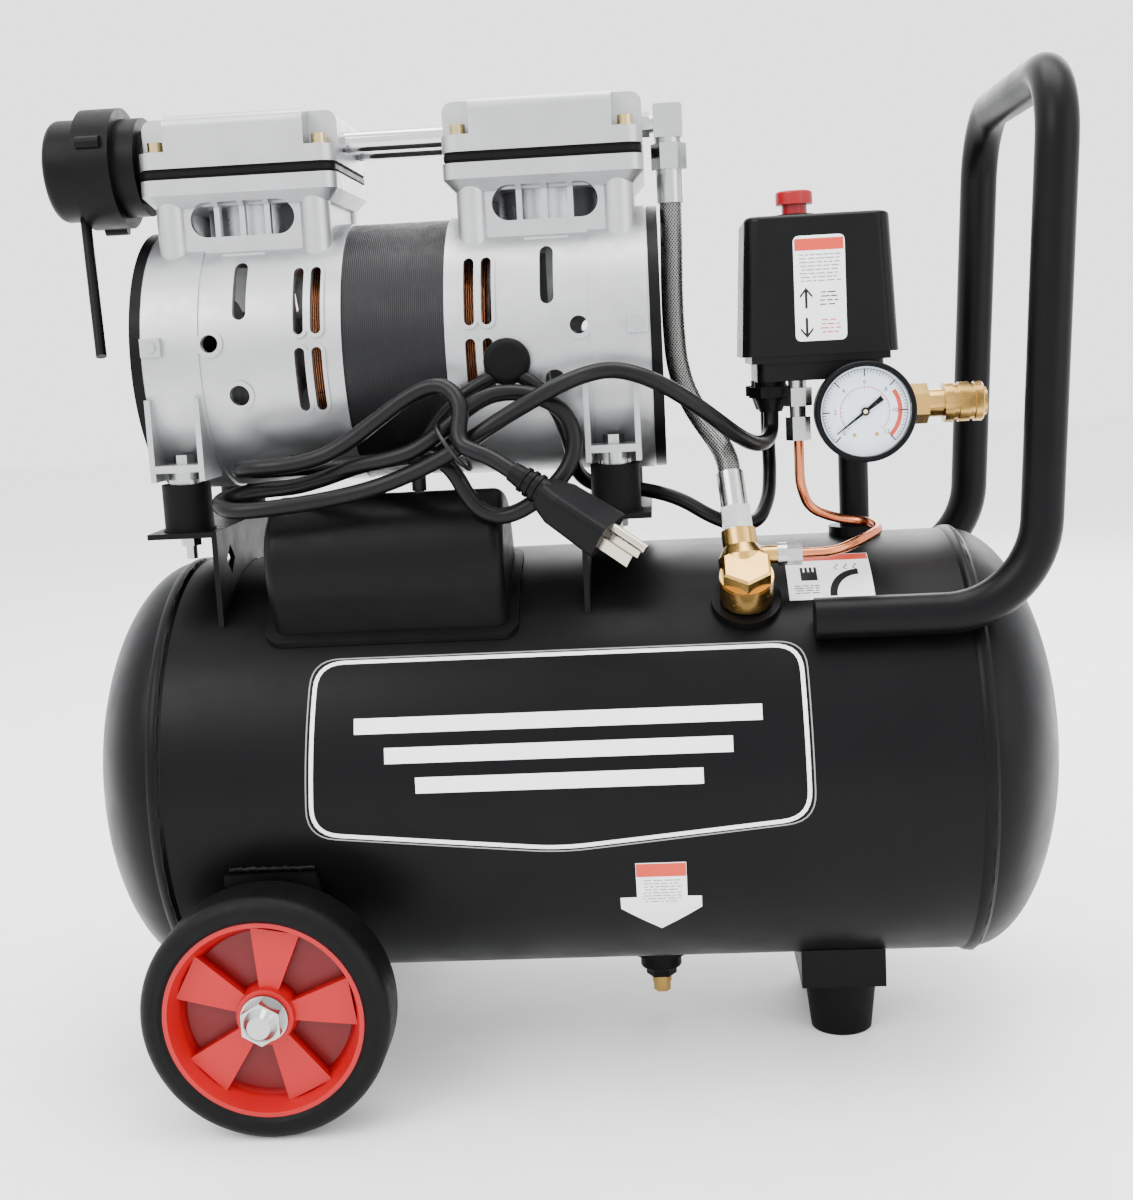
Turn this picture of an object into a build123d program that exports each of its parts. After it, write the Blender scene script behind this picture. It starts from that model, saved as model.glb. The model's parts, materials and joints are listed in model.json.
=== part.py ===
"""A horizontal-tank portable air compressor with a twin-cylinder oil-free pump.

Frame: millimetres, +Z up, +X towards the handle, +Y towards the back.
The origin is on the ground under the middle of the tank.
"""
import os
from math import cos, radians, sin, sqrt, tan

from build123d import *

os.makedirs("parts", exist_ok=True)

# ---------------------------------------------------------------- driving dimensions
# tank: a rolled shell with two dished ends
tank_radius = 123.0
tank_wall = 2.5
tank_z = 163.5
seam_x = 221.0
dome_depth = 56.0
weld_height = 1.6

# running gear
wheel_x = -161.0
wheel_y = 146.5
wheel_radius = 66.0
wheel_width = 37.0
hub_radius = 53.0
axle_radius = 6.0
foot_x = 149.0
foot_y = 34.0
foot_height = 31.0

# handle: one bent tube welded to the tank's shoulders
tube_radius = 11.0
tube_wall = 1.6
handle_y = 99.0
handle_start_x = 134.0
handle_post_x = 250.1
handle_lean = 0.044
handle_top_z = 528.5

# pump: motor in the middle, one cylinder on each side
motor_z = 405.0
motor_mid_x = -84.0
motor_radius = 73.0
housing_wall = 4.0
stator_half = 28.0
housing_end = 138.0
guard_thickness = 6.0
cylinder_offset = 83.5
crank_throw = 8.0
shaft_radius = 8.0
journal_radius = 6.0
bore_radius = 26.0
ledge_z = 462.0
sleeve_wall = 3.0
neck_half_x = 46.0
neck_half_y = 44.0
neck_top_z = 491.0
flange_top_z = 503.0
head_half_x = 54.5
head_half_y = 52.0
head_top_z = 537.0
gasket_thickness = 1.6
plate_thickness = 2.6
head_bolt_inset = 9.0

# rubber isolators between the pump and the tank
mount_xs = (-207.0, 31.5)
mount_y = 60.0
saddle_top_z = 312.0
mount_radius = 13.5
mount_height = 26.0
spacer_height = 7.0
lug_thickness = 4.0

# controls on the standpipe
pipe_x = 167.5
pipe_radius = 8.5
manifold_z = 359.5
switch_x = 147.0
switch_front_y = -40.0
switch_back_y = 34.0
switch_base_z = 377.0
switch_split_z = 391.0
switch_top_z = 467.0
button_at = (137.0, -10.0)
gauge_front_y = -66.0
gauge_radius = 27.2
gland_x = 120.0
gland_bottom_z = 360.0

# check valve on the tank's front shoulder
valve_x = 99.5
valve_tilt = radians(38)

# cords
cord_radius = 4.4
lead_radius = 4.0
hose_radius = 6.2

gap = 0.3


# ---------------------------------------------------------------- shape helpers
def rod(origin, direction, radius, length, mode=Mode.ADD):
    """A round bar from origin along direction."""
    with BuildSketch(Plane(origin=origin, z_dir=direction)) as profile:
        Circle(radius)
    extrude(profile.sketch, amount=length, mode=mode)


def ring(origin, direction, outer, inner, length, mode=Mode.ADD):
    """A round tube from origin along direction."""
    with BuildSketch(Plane(origin=origin, z_dir=direction)) as profile:
        Circle(outer)
        Circle(inner, mode=Mode.SUBTRACT)
    extrude(profile.sketch, amount=length, mode=mode)


def hex_bar(origin, direction, across_flats, length, bore=0.0, mode=Mode.ADD):
    """A hexagonal bar or nut from origin along direction."""
    with BuildSketch(Plane(origin=origin, z_dir=direction)) as profile:
        RegularPolygon(across_flats / 2, 6, major_radius=False)
        if bore:
            Circle(bore, mode=Mode.SUBTRACT)
    extrude(profile.sketch, amount=length, mode=mode)


def block(low, high, mode=Mode.ADD):
    """A box between two opposite corners."""
    centre = tuple((a + b) / 2 for a, b in zip(low, high))
    size = [b - a for a, b in zip(low, high)]
    with Locations(centre):
        Box(*size, mode=mode)


def cone(origin, direction, base_radius, tip_radius, length, mode=Mode.ADD):
    """A truncated cone from origin along direction."""
    base = Plane(origin=origin, z_dir=direction)
    with BuildSketch(base) as lower:
        Circle(base_radius)
    with BuildSketch(base.offset(length)) as upper:
        Circle(tip_radius)
    loft([lower.sketch.face(), upper.sketch.face()], mode=mode)


def tank_cut(radius=tank_radius + gap):
    """Cut the tank's cylinder out of the part being built."""
    rod((-400, 0, tank_z), (1, 0, 0), radius, 800, mode=Mode.SUBTRACT)


def route_radii(points):
    """The bend radius at each inner corner of a cord's route."""
    radii = []
    for before, corner, after in zip(points, points[1:], points[2:]):
        run_in = Vector(*corner) - Vector(*before)
        run_out = Vector(*after) - Vector(*corner)
        turn = radians(run_in.get_angle(run_out))
        radii.append(0.45 * min(run_in.length, run_out.length) / tan(turn / 2))
    return radii


def cord_tube(name, points, radius):
    """A round cord along straight runs joined by tangent arcs."""
    radii = route_radii(points)
    with BuildLine() as route:
        FilletPolyline(*points, radius=radii)
    path = route.wire()
    start = Plane(origin=path @ 0, z_dir=path % 0)
    with BuildSketch(start) as section:
        Circle(radius)
    sweep(section.sketch, path=path)
    print(name, "length", round(path.length, 1), "radii", [round(r, 1) for r in radii])


def save(builder, label):
    """Label a finished piece and write it to its own file."""
    builder.part.label = label
    export_step(builder.part, f"parts/{label}.step")


def save_group(builders, label):
    """Write pieces that stay separate solids to one file."""
    group = Compound([solid for builder in builders for solid in builder.part.solids()])
    group.label = label
    export_step(group, f"parts/{label}.step")


def along(origin, direction, distance):
    """The point at a distance from origin along direction."""
    return tuple(o + d * distance for o, d in zip(origin, direction))


# ---------------------------------------------------------------- tank
valve_dir = (0.0, -sin(valve_tilt), cos(valve_tilt))
valve_base = (valve_x, valve_dir[1] * tank_radius, tank_z + valve_dir[2] * tank_radius)
drain_x = 44.0

with BuildPart() as tank_shell:
    ring((-seam_x, 0, tank_z), (1, 0, 0), tank_radius, tank_radius - tank_wall, 2 * seam_x)
    pipe_base = (pipe_x, 0, tank_z + tank_radius - 4)
    rod(pipe_base, (0, 0, 1), 15, 9)
    rod(pipe_base, (0, 0, 1), pipe_radius + 0.05, 9, mode=Mode.SUBTRACT)
    rod(along(pipe_base, (0, 0, 1), -6), (0, 0, 1), pipe_radius - 2, 20, mode=Mode.SUBTRACT)
    rod(along(valve_base, valve_dir, -4), valve_dir, 19, 8)
    rod(along(valve_base, valve_dir, -9), valve_dir, 8, 20, mode=Mode.SUBTRACT)
    rod((drain_x, 0, tank_z - tank_radius + 4), (0, 0, -1), 18, 9)
    rod((drain_x, 0, tank_z - tank_radius + 9), (0, 0, -1), 7, 30, mode=Mode.SUBTRACT)
save(tank_shell, "tank_shell")

tank_side = Plane(origin=(0, 0, tank_z), x_dir=(1, 0, 0), z_dir=(0, -1, 0))
tank_axis = Axis((0, 0, tank_z), (1, 0, 0))

with BuildPart() as tank_ends:
    with BuildSketch(tank_side) as dish:
        with BuildLine():
            outer = EllipticalCenterArc((seam_x, 0), dome_depth, tank_radius, start_angle=0, arc_size=90)
            inner = EllipticalCenterArc(
                (seam_x, 0), dome_depth - tank_wall, tank_radius - tank_wall, start_angle=0, arc_size=90
            )
            Line(outer @ 0, inner @ 0)
            Line(outer @ 1, inner @ 1)
        make_face()
    revolve(axis=tank_axis)
    mirror(about=Plane.YZ)

with BuildPart() as tank_welds:
    for side in (-1, 1):
        with BuildSketch(tank_side) as bead:
            bead_x = side * seam_x
            bead_foot = tank_radius + 0.05
            with BuildLine():
                ThreePointArc(
                    (bead_x - 4, bead_foot), (bead_x, bead_foot + weld_height), (bead_x + 4, bead_foot)
                )
                Line((bead_x + 4, bead_foot), (bead_x - 4, bead_foot))
            make_face()
        revolve(axis=tank_axis)
save_group([tank_ends, tank_welds], "tank_ends")

# ---------------------------------------------------------------- handle
shoulder_z = tank_z + sqrt((tank_radius + tube_radius + 0.2) ** 2 - handle_y**2)
handle_lean_x = handle_lean * (handle_top_z - shoulder_z)
handle_points = [
    (handle_start_x, -handle_y, shoulder_z),
    (handle_post_x, -handle_y, shoulder_z),
    (handle_post_x + handle_lean_x, -handle_y, handle_top_z),
    (handle_post_x + handle_lean_x, handle_y, handle_top_z),
    (handle_post_x, handle_y, shoulder_z),
    (handle_start_x, handle_y, shoulder_z),
]
with BuildPart() as handle:
    with BuildLine() as handle_line:
        FilletPolyline(*handle_points, radius=[50, 38, 38, 50])
    with BuildSketch(Plane(origin=handle_points[0], z_dir=(1, 0, 0))):
        Circle(tube_radius)
        Circle(tube_radius - tube_wall, mode=Mode.SUBTRACT)
    sweep(path=handle_line.line)
    for side in (-1, 1):
        rod((handle_start_x, side * handle_y, shoulder_z), (1, 0, 0), tube_radius - tube_wall, 2)
save(handle, "handle")

# ---------------------------------------------------------------- saddles, brackets and feet
with BuildPart() as motor_saddles:
    for mount_x, inward in zip(mount_xs, (1, -1)):
        web_x = mount_x + inward * 18
        far_x = mount_x - inward * 19
        low_x, high_x = sorted((web_x + inward * 1.5, far_x))
        block((low_x, -78, saddle_top_z - 3), (high_x, 78, saddle_top_z))
        block((web_x - 1.5, -78, tank_z + 60), (web_x + 1.5, 78, saddle_top_z))
        with BuildSketch(Plane.YZ.offset(web_x - 10)) as notch:
            with Locations((-52, saddle_top_z - 18), (52, saddle_top_z - 18)):
                Rectangle(12, 12, rotation=45)
        extrude(notch.sketch, amount=20, mode=Mode.SUBTRACT)
    for mount_x in mount_xs:
        for y in (-mount_y, mount_y):
            rod((mount_x, y, saddle_top_z - 5), (0, 0, 1), 3.4, 10, mode=Mode.SUBTRACT)
    tank_cut()
save(motor_saddles, "motor_saddles")

with BuildPart() as wheel_brackets:
    for side in (-1, 1):
        plate = sorted((side * 121.0, side * 125.0))
        block((wheel_x - 25, plate[0], 46), (wheel_x + 25, plate[1], 132))
        gusset = sorted((side * 60.0, side * 122.0))
        for gusset_x in (wheel_x - 25, wheel_x + 21):
            block((gusset_x, gusset[0], 52), (gusset_x + 4, gusset[1], 128))
        tank_cut()
        rod((wheel_x, side * 110, wheel_radius), (0, side, 0), axle_radius + 0.05, 20, mode=Mode.SUBTRACT)
save(wheel_brackets, "wheel_brackets")

with BuildPart() as axle_bolts:
    for side in (-1, 1):
        out = (0, side, 0)
        hex_bar((wheel_x, side * 113, wheel_radius), out, 19, 8 - gap)
        rod((wheel_x, side * 120, wheel_radius), out, axle_radius, 50)
        rod((wheel_x, side * 125, wheel_radius), out, 10, 5.2)

with BuildPart() as cap_nuts:
    for side in (-1, 1):
        out = (0, side, 0)
        start = (wheel_x, side * (wheel_y + 12.5), wheel_radius)
        rod(start, out, 12.5, 1.5)
        hex_bar(along(start, out, 1.5), out, 20, 8)
        cone(along(start, out, 9.0), out, 9.4, 6.0, 4.5)
        rod(start, out, axle_radius, 12, mode=Mode.SUBTRACT)
save_group([axle_bolts, cap_nuts], "axle_bolts")


def make_wheel(side, name):
    """One wheel's hub and tyre, with local Z pointing outwards from the machine."""
    face = Plane(origin=(wheel_x, side * wheel_y, wheel_radius), x_dir=(1, 0, 0), z_dir=(0, side, 0))
    section = Plane(origin=face.origin, x_dir=(1, 0, 0), z_dir=(0, 0, side))
    spin = Axis(face.origin, (0, 1, 0))
    half_width = wheel_width / 2
    with BuildPart() as hub:
        with BuildSketch(section):
            with BuildLine():
                Polyline(
                    (axle_radius + 0.08, -16),
                    (15, -16),
                    (17, -4),
                    (44, -4),
                    (47, -16.5),
                    (hub_radius, -16.5),
                    (hub_radius, 16.5),
                    (50.5, 16.5),
                    (46, 4),
                    (44, 1),
                    (17, 1),
                    (15, 12),
                    (axle_radius + 0.08, 12),
                    close=True,
                )
            make_face()
        revolve(axis=spin)
        with BuildSketch(face.offset(0.5)):
            with PolarLocations(0, 5, start_angle=80):
                Polygon((14, -5), (46.5, -13), (46.5, 13), (14, 5), align=None)
        extrude(amount=8.5)
        rod(tuple(face.origin), (0, side, 0), axle_radius + 0.08, 20, mode=Mode.SUBTRACT)
    save(hub, f"wheel_hub_{name}")
    with BuildPart() as tyre:
        with BuildSketch(section):
            with BuildLine():
                Line((hub_radius, -half_width + 2), (hub_radius, half_width - 2))
                Line((hub_radius, half_width - 2), (hub_radius + 2, half_width))
                Line((hub_radius + 2, half_width), (wheel_radius - 7, half_width))
                ThreePointArc(
                    (wheel_radius - 7, half_width),
                    (wheel_radius - 2.4, half_width - 2.2),
                    (wheel_radius, half_width - 8),
                )
                Line((wheel_radius, half_width - 8), (wheel_radius, -half_width + 8))
                ThreePointArc(
                    (wheel_radius, -half_width + 8),
                    (wheel_radius - 2.4, -half_width + 2.2),
                    (wheel_radius - 7, -half_width),
                )
                Line((wheel_radius - 7, -half_width), (hub_radius + 2, -half_width))
                Line((hub_radius + 2, -half_width), (hub_radius, -half_width + 2))
            make_face()
        revolve(axis=spin)
    save(tyre, f"tyre_{name}")


make_wheel(-1, "near")
make_wheel(1, "far")

foot_plate_z = foot_height + 3
channel_end = foot_y + 22
with BuildPart() as foot_bracket:
    block((foot_x - 24, -channel_end, foot_height), (foot_x + 24, channel_end, foot_plate_z))
    for x in (foot_x - 24, foot_x + 21):
        block((x, -channel_end, foot_height), (x + 3, channel_end, 80))
    for y in (-channel_end, channel_end - 3):
        block((foot_x - 24, y, foot_height), (foot_x + 24, y + 3, 70))
    tank_cut()
    for y in (-foot_y, foot_y):
        rod((foot_x, y, 20), (0, 0, 1), 3.2, 20, mode=Mode.SUBTRACT)
save(foot_bracket, "foot_bracket")

with BuildPart() as rubber_feet:
    for y in (-foot_y, foot_y):
        cone((foot_x, y, 0), (0, 0, 1), 17.5, 21.0, foot_height)
        rod((foot_x, y, 8), (0, 0, 1), 6.5, 30, mode=Mode.SUBTRACT)
save(rubber_feet, "rubber_feet")

# ---------------------------------------------------------------- isolators
disc_z = saddle_top_z + mount_height
lug_z = disc_z + spacer_height
with BuildPart() as isolators:
    for mount_x in mount_xs:
        for y in (-mount_y, mount_y):
            ring((mount_x, y, saddle_top_z + 1), (0, 0, 1), mount_radius, 3.1, mount_height - 1)
            rod((mount_x, y, saddle_top_z), (0, 0, 1), mount_radius + 1, 1)
            rod((mount_x, y, saddle_top_z - 1), (0, 0, 1), 3.1, 4, mode=Mode.SUBTRACT)
save(isolators, "isolators")

with BuildPart() as isolator_studs:
    for mount_x in mount_xs:
        for y in (-mount_y, mount_y):
            rod((mount_x, y, saddle_top_z - 16), (0, 0, 1), 3, 57)
            hex_bar((mount_x, y, saddle_top_z - 8.5), (0, 0, 1), 10, 5)
            rod((mount_x, y, disc_z), (0, 0, 1), 9, spacer_height)
            hex_bar((mount_x, y, lug_z + lug_thickness), (0, 0, 1), 10, 5)
save(isolator_studs, "isolator_studs")

# ---------------------------------------------------------------- pump housings
cylinder_xs = (motor_mid_x - cylinder_offset, motor_mid_x + cylinder_offset)


def raised_rims(shapes):
    """Rims that stand 1.2 mm proud of the round housing, around its openings."""
    with BuildPart(mode=Mode.PRIVATE) as rims:
        for x, z, width, height in shapes:
            plane = Plane(origin=(x, -30, z), x_dir=(0, 0, 1), z_dir=(0, -1, 0))
            with BuildSketch(plane) as outline:
                if height > width:
                    SlotOverall(height, width)
                else:
                    Circle(width / 2)
            extrude(outline.sketch, amount=60)
        with BuildSketch(Plane.YZ.offset(-400)) as band:
            with Locations((0, motor_z)):
                Circle(motor_radius + 1.2)
                Circle(motor_radius - 1, mode=Mode.SUBTRACT)
        extrude(band.sketch, amount=800, mode=Mode.INTERSECT)
    return rims.part


def make_housing(side, name):
    """A cast motor end: drum, bearing wall, cylinder block, head flange and foot lugs."""
    drum_x = sorted((motor_mid_x + side * stator_half, motor_mid_x + side * housing_end))
    axis_x = motor_mid_x + side * cylinder_offset
    mount_x = mount_xs[0] if side < 0 else mount_xs[1]
    with BuildPart() as housing:
        rod((drum_x[0], 0, motor_z), (1, 0, 0), motor_radius, drum_x[1] - drum_x[0])
        step = sorted((motor_mid_x + side * 106, motor_mid_x + side * (housing_end - 1)))
        rod((step[0], 0, motor_z), (1, 0, 0), motor_radius + 1, step[1] - step[0])
        block(
            (axis_x - neck_half_x, -neck_half_y, motor_z),
            (axis_x + neck_half_x, neck_half_y, neck_top_z + 1),
        )
        for corner in (-1, 1):
            for front in (-1, 1):
                rod(
                    (axis_x + corner * (neck_half_x - 6), front * (neck_half_y - 4), motor_z + 50),
                    (0, 0, 1), 8.5, neck_top_z - motor_z - 49,
                )
        with BuildSketch(Plane.XY.offset(neck_top_z + 3.5)) as flange:
            with Locations((axis_x, 0)):
                RectangleRounded(2 * head_half_x, 2 * head_half_y, 8)
        extrude(flange.sketch, amount=flange_top_z - neck_top_z - 3.5)
        with BuildSketch(Plane.XY.offset(neck_top_z - 3)) as under:
            with Locations((axis_x, 0)):
                RectangleRounded(2 * head_half_x - 12, 2 * head_half_y - 12, 6)
        with BuildSketch(Plane.XY.offset(neck_top_z + 3.5)) as over:
            with Locations((axis_x, 0)):
                RectangleRounded(2 * head_half_x, 2 * head_half_y, 8)
        loft([under.sketch.face(), over.sketch.face()])
        # foot lugs: a plate between two upright ribs over each isolator
        for y in (-1, 1):
            face = sorted((y * 40.0, y * 75.0))
            block((mount_x - 15, face[0], lug_z), (mount_x + 15, face[1], lug_z + lug_thickness))
            for rib_x in (mount_x - 15, mount_x + 12):
                block((rib_x, face[0], lug_z - 5), (rib_x + 3, face[1], motor_z - 20))
        # rims around the openings in the front
        raised = raised_rims(
            [
                (motor_mid_x + side * 100, 413.5, 15, 15),
                (motor_mid_x + side * 86, 385, 16, 16),
                (motor_mid_x + side * 41.6, 434, 9.6, 40),
                (motor_mid_x + side * 51, 434, 9.6, 40),
                (motor_mid_x + side * 41.6, 392, 9.6, 38),
                (motor_mid_x + side * 51, 392, 9.6, 38),
            ]
        )
        add(raised)
        # hollow drum
        rod((drum_x[0] - 5, 0, motor_z), (1, 0, 0), motor_radius - housing_wall, 160, mode=Mode.SUBTRACT)
        # air chamber round the cylinder
        block(
            (axis_x - neck_half_x + 5, -neck_half_y + 5, motor_z),
            (axis_x + neck_half_x - 5, neck_half_y - 5, neck_top_z - 2),
            mode=Mode.SUBTRACT,
        )
        # bearing wall with a hub and four open quadrants
        wall_x = motor_mid_x + side * 60
        ring((wall_x - 2.5, 0, motor_z), (1, 0, 0), motor_radius - 3, 17.1, 5)
        ring((wall_x - 6, 0, motor_z), (1, 0, 0), 23, 17.1, 12)
        with BuildSketch(Plane.YZ.offset(wall_x - 4)) as quadrants:
            with Locations((0, motor_z)):
                with PolarLocations(44, 4, start_angle=45):
                    Circle(13)
        extrude(quadrants.sketch, amount=8, mode=Mode.SUBTRACT)
        # ledge that carries the cylinder sleeve
        rod((axis_x, 0, motor_z + 20), (0, 0, 1), bore_radius + sleeve_wall + 0.1, 90, mode=Mode.SUBTRACT)
        ring((axis_x, 0, ledge_z - 4), (0, 0, 1), 33, bore_radius + 1, 4)
        for bridge in (-1, 1):
            low, high = sorted((bridge * 30.0, bridge * 47.0))
            block((axis_x - 12, low, ledge_z - 4), (axis_x + 12, high, ledge_z))
        # cooling windows, front and back, each with three ribs
        for face_y in (-1, 1):
            window_plane = Plane(origin=(axis_x, 0, 481), x_dir=(1, 0, 0), z_dir=(0, face_y, 0))
            with BuildSketch(window_plane.offset(neck_half_y - 7)) as window:
                SlotOverall(58, 18.5)
                with Locations((-14, 0), (0, 0), (14, 0)):
                    Rectangle(3, 30, mode=Mode.SUBTRACT)
            extrude(window.sketch, amount=20, mode=Mode.SUBTRACT)
        # openings in the drum, front
        front_holes = [
            (motor_mid_x + side * 100, 413.5, 9.6, 9.6),
            (motor_mid_x + side * 86, 385, 11, 11),
            (motor_mid_x + side * 41.6, 434, 5.6, 36),
            (motor_mid_x + side * 51, 434, 5.6, 36),
            (motor_mid_x + side * 41.6, 392, 5.6, 34),
            (motor_mid_x + side * 51, 392, 5.6, 34),
            (axis_x, 441, 7.4, 31),
        ]
        for x, z, width, height in front_holes:
            for face_y in (-1, 1):
                plane = Plane(origin=(x, 0, z), x_dir=(0, 0, 1), z_dir=(0, face_y, 0))
                with BuildSketch(plane.offset(30)) as opening:
                    if height > width:
                        SlotOverall(height, width)
                    else:
                        Circle(width / 2)
                extrude(opening.sketch, amount=60, mode=Mode.SUBTRACT)
        # screw lugs for the fan guard
        for y in (-1, 1):
            lug = sorted((motor_mid_x + side * 126, motor_mid_x + side * (housing_end - 1)))
            face = sorted((y * 70.5, y * 77.0))
            block((lug[0], face[0], 408), (lug[1], face[1], 418))
        # bolt holes
        for y in (-mount_y, mount_y):
            rod((mount_x, y, lug_z - 4), (0, 0, 1), 3.1, 12, mode=Mode.SUBTRACT)
        for bolt_x in (axis_x - head_half_x + head_bolt_inset, axis_x + head_half_x - head_bolt_inset):
            for bolt_y in (-head_half_y + head_bolt_inset, head_half_y - head_bolt_inset):
                rod((bolt_x, bolt_y, flange_top_z - 10), (0, 0, 1), 2.6, 12, mode=Mode.SUBTRACT)
        if side > 0:
            rod((-23, -50, 396), (0, -1, 0), 9.1, 40, mode=Mode.SUBTRACT)
    save(housing, f"motor_housing_{name}")


make_housing(-1, "left")
make_housing(1, "right")

with BuildPart() as fan_guards:
    for side in (-1, 1):
        start = (motor_mid_x + side * housing_end, 0, motor_z)
        out = (side, 0, 0)
        ring(start, out, motor_radius + 0.5, motor_radius - 7, guard_thickness)
        for inner_radius in (14, 28, 42, 56):
            ring(along(start, out, 2), out, inner_radius + 1.4, inner_radius - 1.4, 2.5)
        with BuildSketch(Plane(origin=along(start, out, 2), z_dir=out)) as spokes:
            with PolarLocations(40, 8):
                Rectangle(56, 2.6)
        extrude(spokes.sketch, amount=2.5)
save(fan_guards, "fan_guards")

# ---------------------------------------------------------------- motor
with BuildPart() as stator_core:
    start = (motor_mid_x - stator_half + 0.05, 0, motor_z)
    with BuildSketch(Plane(origin=start, x_dir=(0, 1, 0), z_dir=(1, 0, 0))) as lamination:
        Circle(motor_radius - 1)
        Circle(36, mode=Mode.SUBTRACT)
        with PolarLocations(42, 16):
            Rectangle(10, 5, mode=Mode.SUBTRACT)
    extrude(lamination.sketch, amount=2 * stator_half - 0.1)
save(stator_core, "stator_core")

with BuildPart() as stator_windings:
    for side in (-1, 1):
        start = (motor_mid_x + side * (stator_half + 0.1), 0, motor_z)
        ring(start, (side, 0, 0), 62, 41, 22)
        fillet(stator_windings.edges().filter_by(GeomType.CIRCLE).group_by(Axis.X)[0 if side < 0 else -1], 6)
save(stator_windings, "stator_windings")

with BuildPart() as rotor_core:
    ring((motor_mid_x - 27, 0, motor_z), (1, 0, 0), 35.4, shaft_radius, 54)
save(rotor_core, "rotor_core")

with BuildPart() as motor_shaft:
    rod((motor_mid_x - 66, 0, motor_z), (1, 0, 0), shaft_radius, 132)
    rod((motor_mid_x - 130, 0, motor_z), (1, 0, 0), journal_radius, 260)

with BuildPart() as main_bearings:
    for side in (-1, 1):
        start = (motor_mid_x + side * 54.5, 0, motor_z)
        ring(start, (side, 0, 0), 17, shaft_radius + 0.06, 11)
save(main_bearings, "main_bearings")

with BuildPart() as crank_eccentrics:
    for side in (-1, 1):
        start = (motor_mid_x + side * 66.5, 0, motor_z)
        out = (side, 0, 0)
        rod(start, out, 11, 12)
        rod((start[0], 0, motor_z - side * crank_throw), out, 14, 12)
        with BuildSketch(Plane(origin=start, x_dir=(0, 1, 0), z_dir=(1, 0, 0))) as weight:
            Circle(30)
            with Locations((0, -side * 17)):
                Rectangle(80, 44, mode=Mode.SUBTRACT)
        extrude(weight.sketch, amount=side * 8)
        rod(start, out, journal_radius, 12, mode=Mode.SUBTRACT)
save_group([motor_shaft, crank_eccentrics], "motor_shaft")

with BuildPart() as cooling_fans:
    for side in (-1, 1):
        start = (motor_mid_x + side * 104, 0, motor_z)
        out = (side, 0, 0)
        rod(start, out, 14, 24)
        rod(start, out, 34, 2)
        base = Plane(origin=along(start, out, 1), x_dir=(0, 1, 0), z_dir=out)
        with BuildSketch(base) as blades:
            with PolarLocations(31, 9):
                Rectangle(37, 2.4, rotation=18)
        extrude(blades.sketch, amount=20)
        rod(start, out, journal_radius, 30, mode=Mode.SUBTRACT)
save(cooling_fans, "cooling_fans")

# ---------------------------------------------------------------- cylinders and heads
with BuildPart() as cylinder_sleeves:
    for axis_x in cylinder_xs:
        ring((axis_x, 0, ledge_z), (0, 0, 1), bore_radius + sleeve_wall, bore_radius, flange_top_z - ledge_z)
save(cylinder_sleeves, "cylinder_sleeves")


def make_piston(side, name):
    """A wobble piston: crown, cup seal, rod and big end, at the top or bottom of its stroke."""
    axis_x = motor_mid_x + side * cylinder_offset
    pin_z = motor_z - side * crank_throw
    crown_z = pin_z + 84
    with BuildPart() as piston:
        rod((axis_x, 0, crown_z), (0, 0, 1), bore_radius - 2, 5)
        ring((axis_x, 0, crown_z - 2.2), (0, 0, 1), bore_radius - 0.08, 12, 2)
        block((axis_x - 3.5, -7, pin_z + 19), (axis_x + 3.5, 7, crown_z))
        ring((axis_x - 3.5, 0, pin_z), (1, 0, 0), 22, 17.9, 7)
        ring((axis_x - 3, 0, pin_z), (1, 0, 0), 17.8, 14.6, 6)
    save(piston, f"piston_{name}")


make_piston(-1, "left")
make_piston(1, "right")


def each_head_bolt():
    """The plan position of every head bolt."""
    for axis_x in cylinder_xs:
        for x in (-head_half_x + head_bolt_inset, head_half_x - head_bolt_inset):
            for y in (-head_half_y + head_bolt_inset, head_half_y - head_bolt_inset):
                yield axis_x + x, y


plate_z = flange_top_z + gasket_thickness
cover_z = plate_z + plate_thickness + gasket_thickness


def head_layer(bottom, height, inset, port=None):
    """One rounded plate of each head's stack, with its four bolt holes."""
    for axis_x in cylinder_xs:
        with BuildSketch(Plane.XY.offset(bottom)) as layer:
            with Locations((axis_x, 0)):
                RectangleRounded(2 * (head_half_x - inset), 2 * (head_half_y - inset), 8)
                if port == "bore":
                    Circle(bore_radius, mode=Mode.SUBTRACT)
                elif port == "valves":
                    with Locations((-11, 0), (11, 0)):
                        Circle(4.5, mode=Mode.SUBTRACT)
                elif port == "rim":
                    Rectangle(2 * head_half_x - 34, 2 * head_half_y - 14, mode=Mode.SUBTRACT)
        extrude(layer.sketch, amount=height)
    for x, y in each_head_bolt():
        rod((x, y, bottom - 1), (0, 0, 1), 2.6, height + 2, mode=Mode.SUBTRACT)


with BuildPart() as head_gaskets:
    head_layer(flange_top_z, gasket_thickness, 1.0, "bore")
    head_layer(plate_z + plate_thickness, gasket_thickness, 1.0, "rim")
save(head_gaskets, "head_gaskets")

with BuildPart() as valve_plates:
    head_layer(plate_z, plate_thickness, 0.6, "valves")
    for axis_x in cylinder_xs:
        for x in (-11, 11):
            reed_z = plate_z + plate_thickness
            block((axis_x + x - 5.5, -5, reed_z), (axis_x + x + 5.5, 16, reed_z + 0.5))
save(valve_plates, "valve_plates")

cross_z = 521.0
cross_ys = (-19.0, 21.0)


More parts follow.
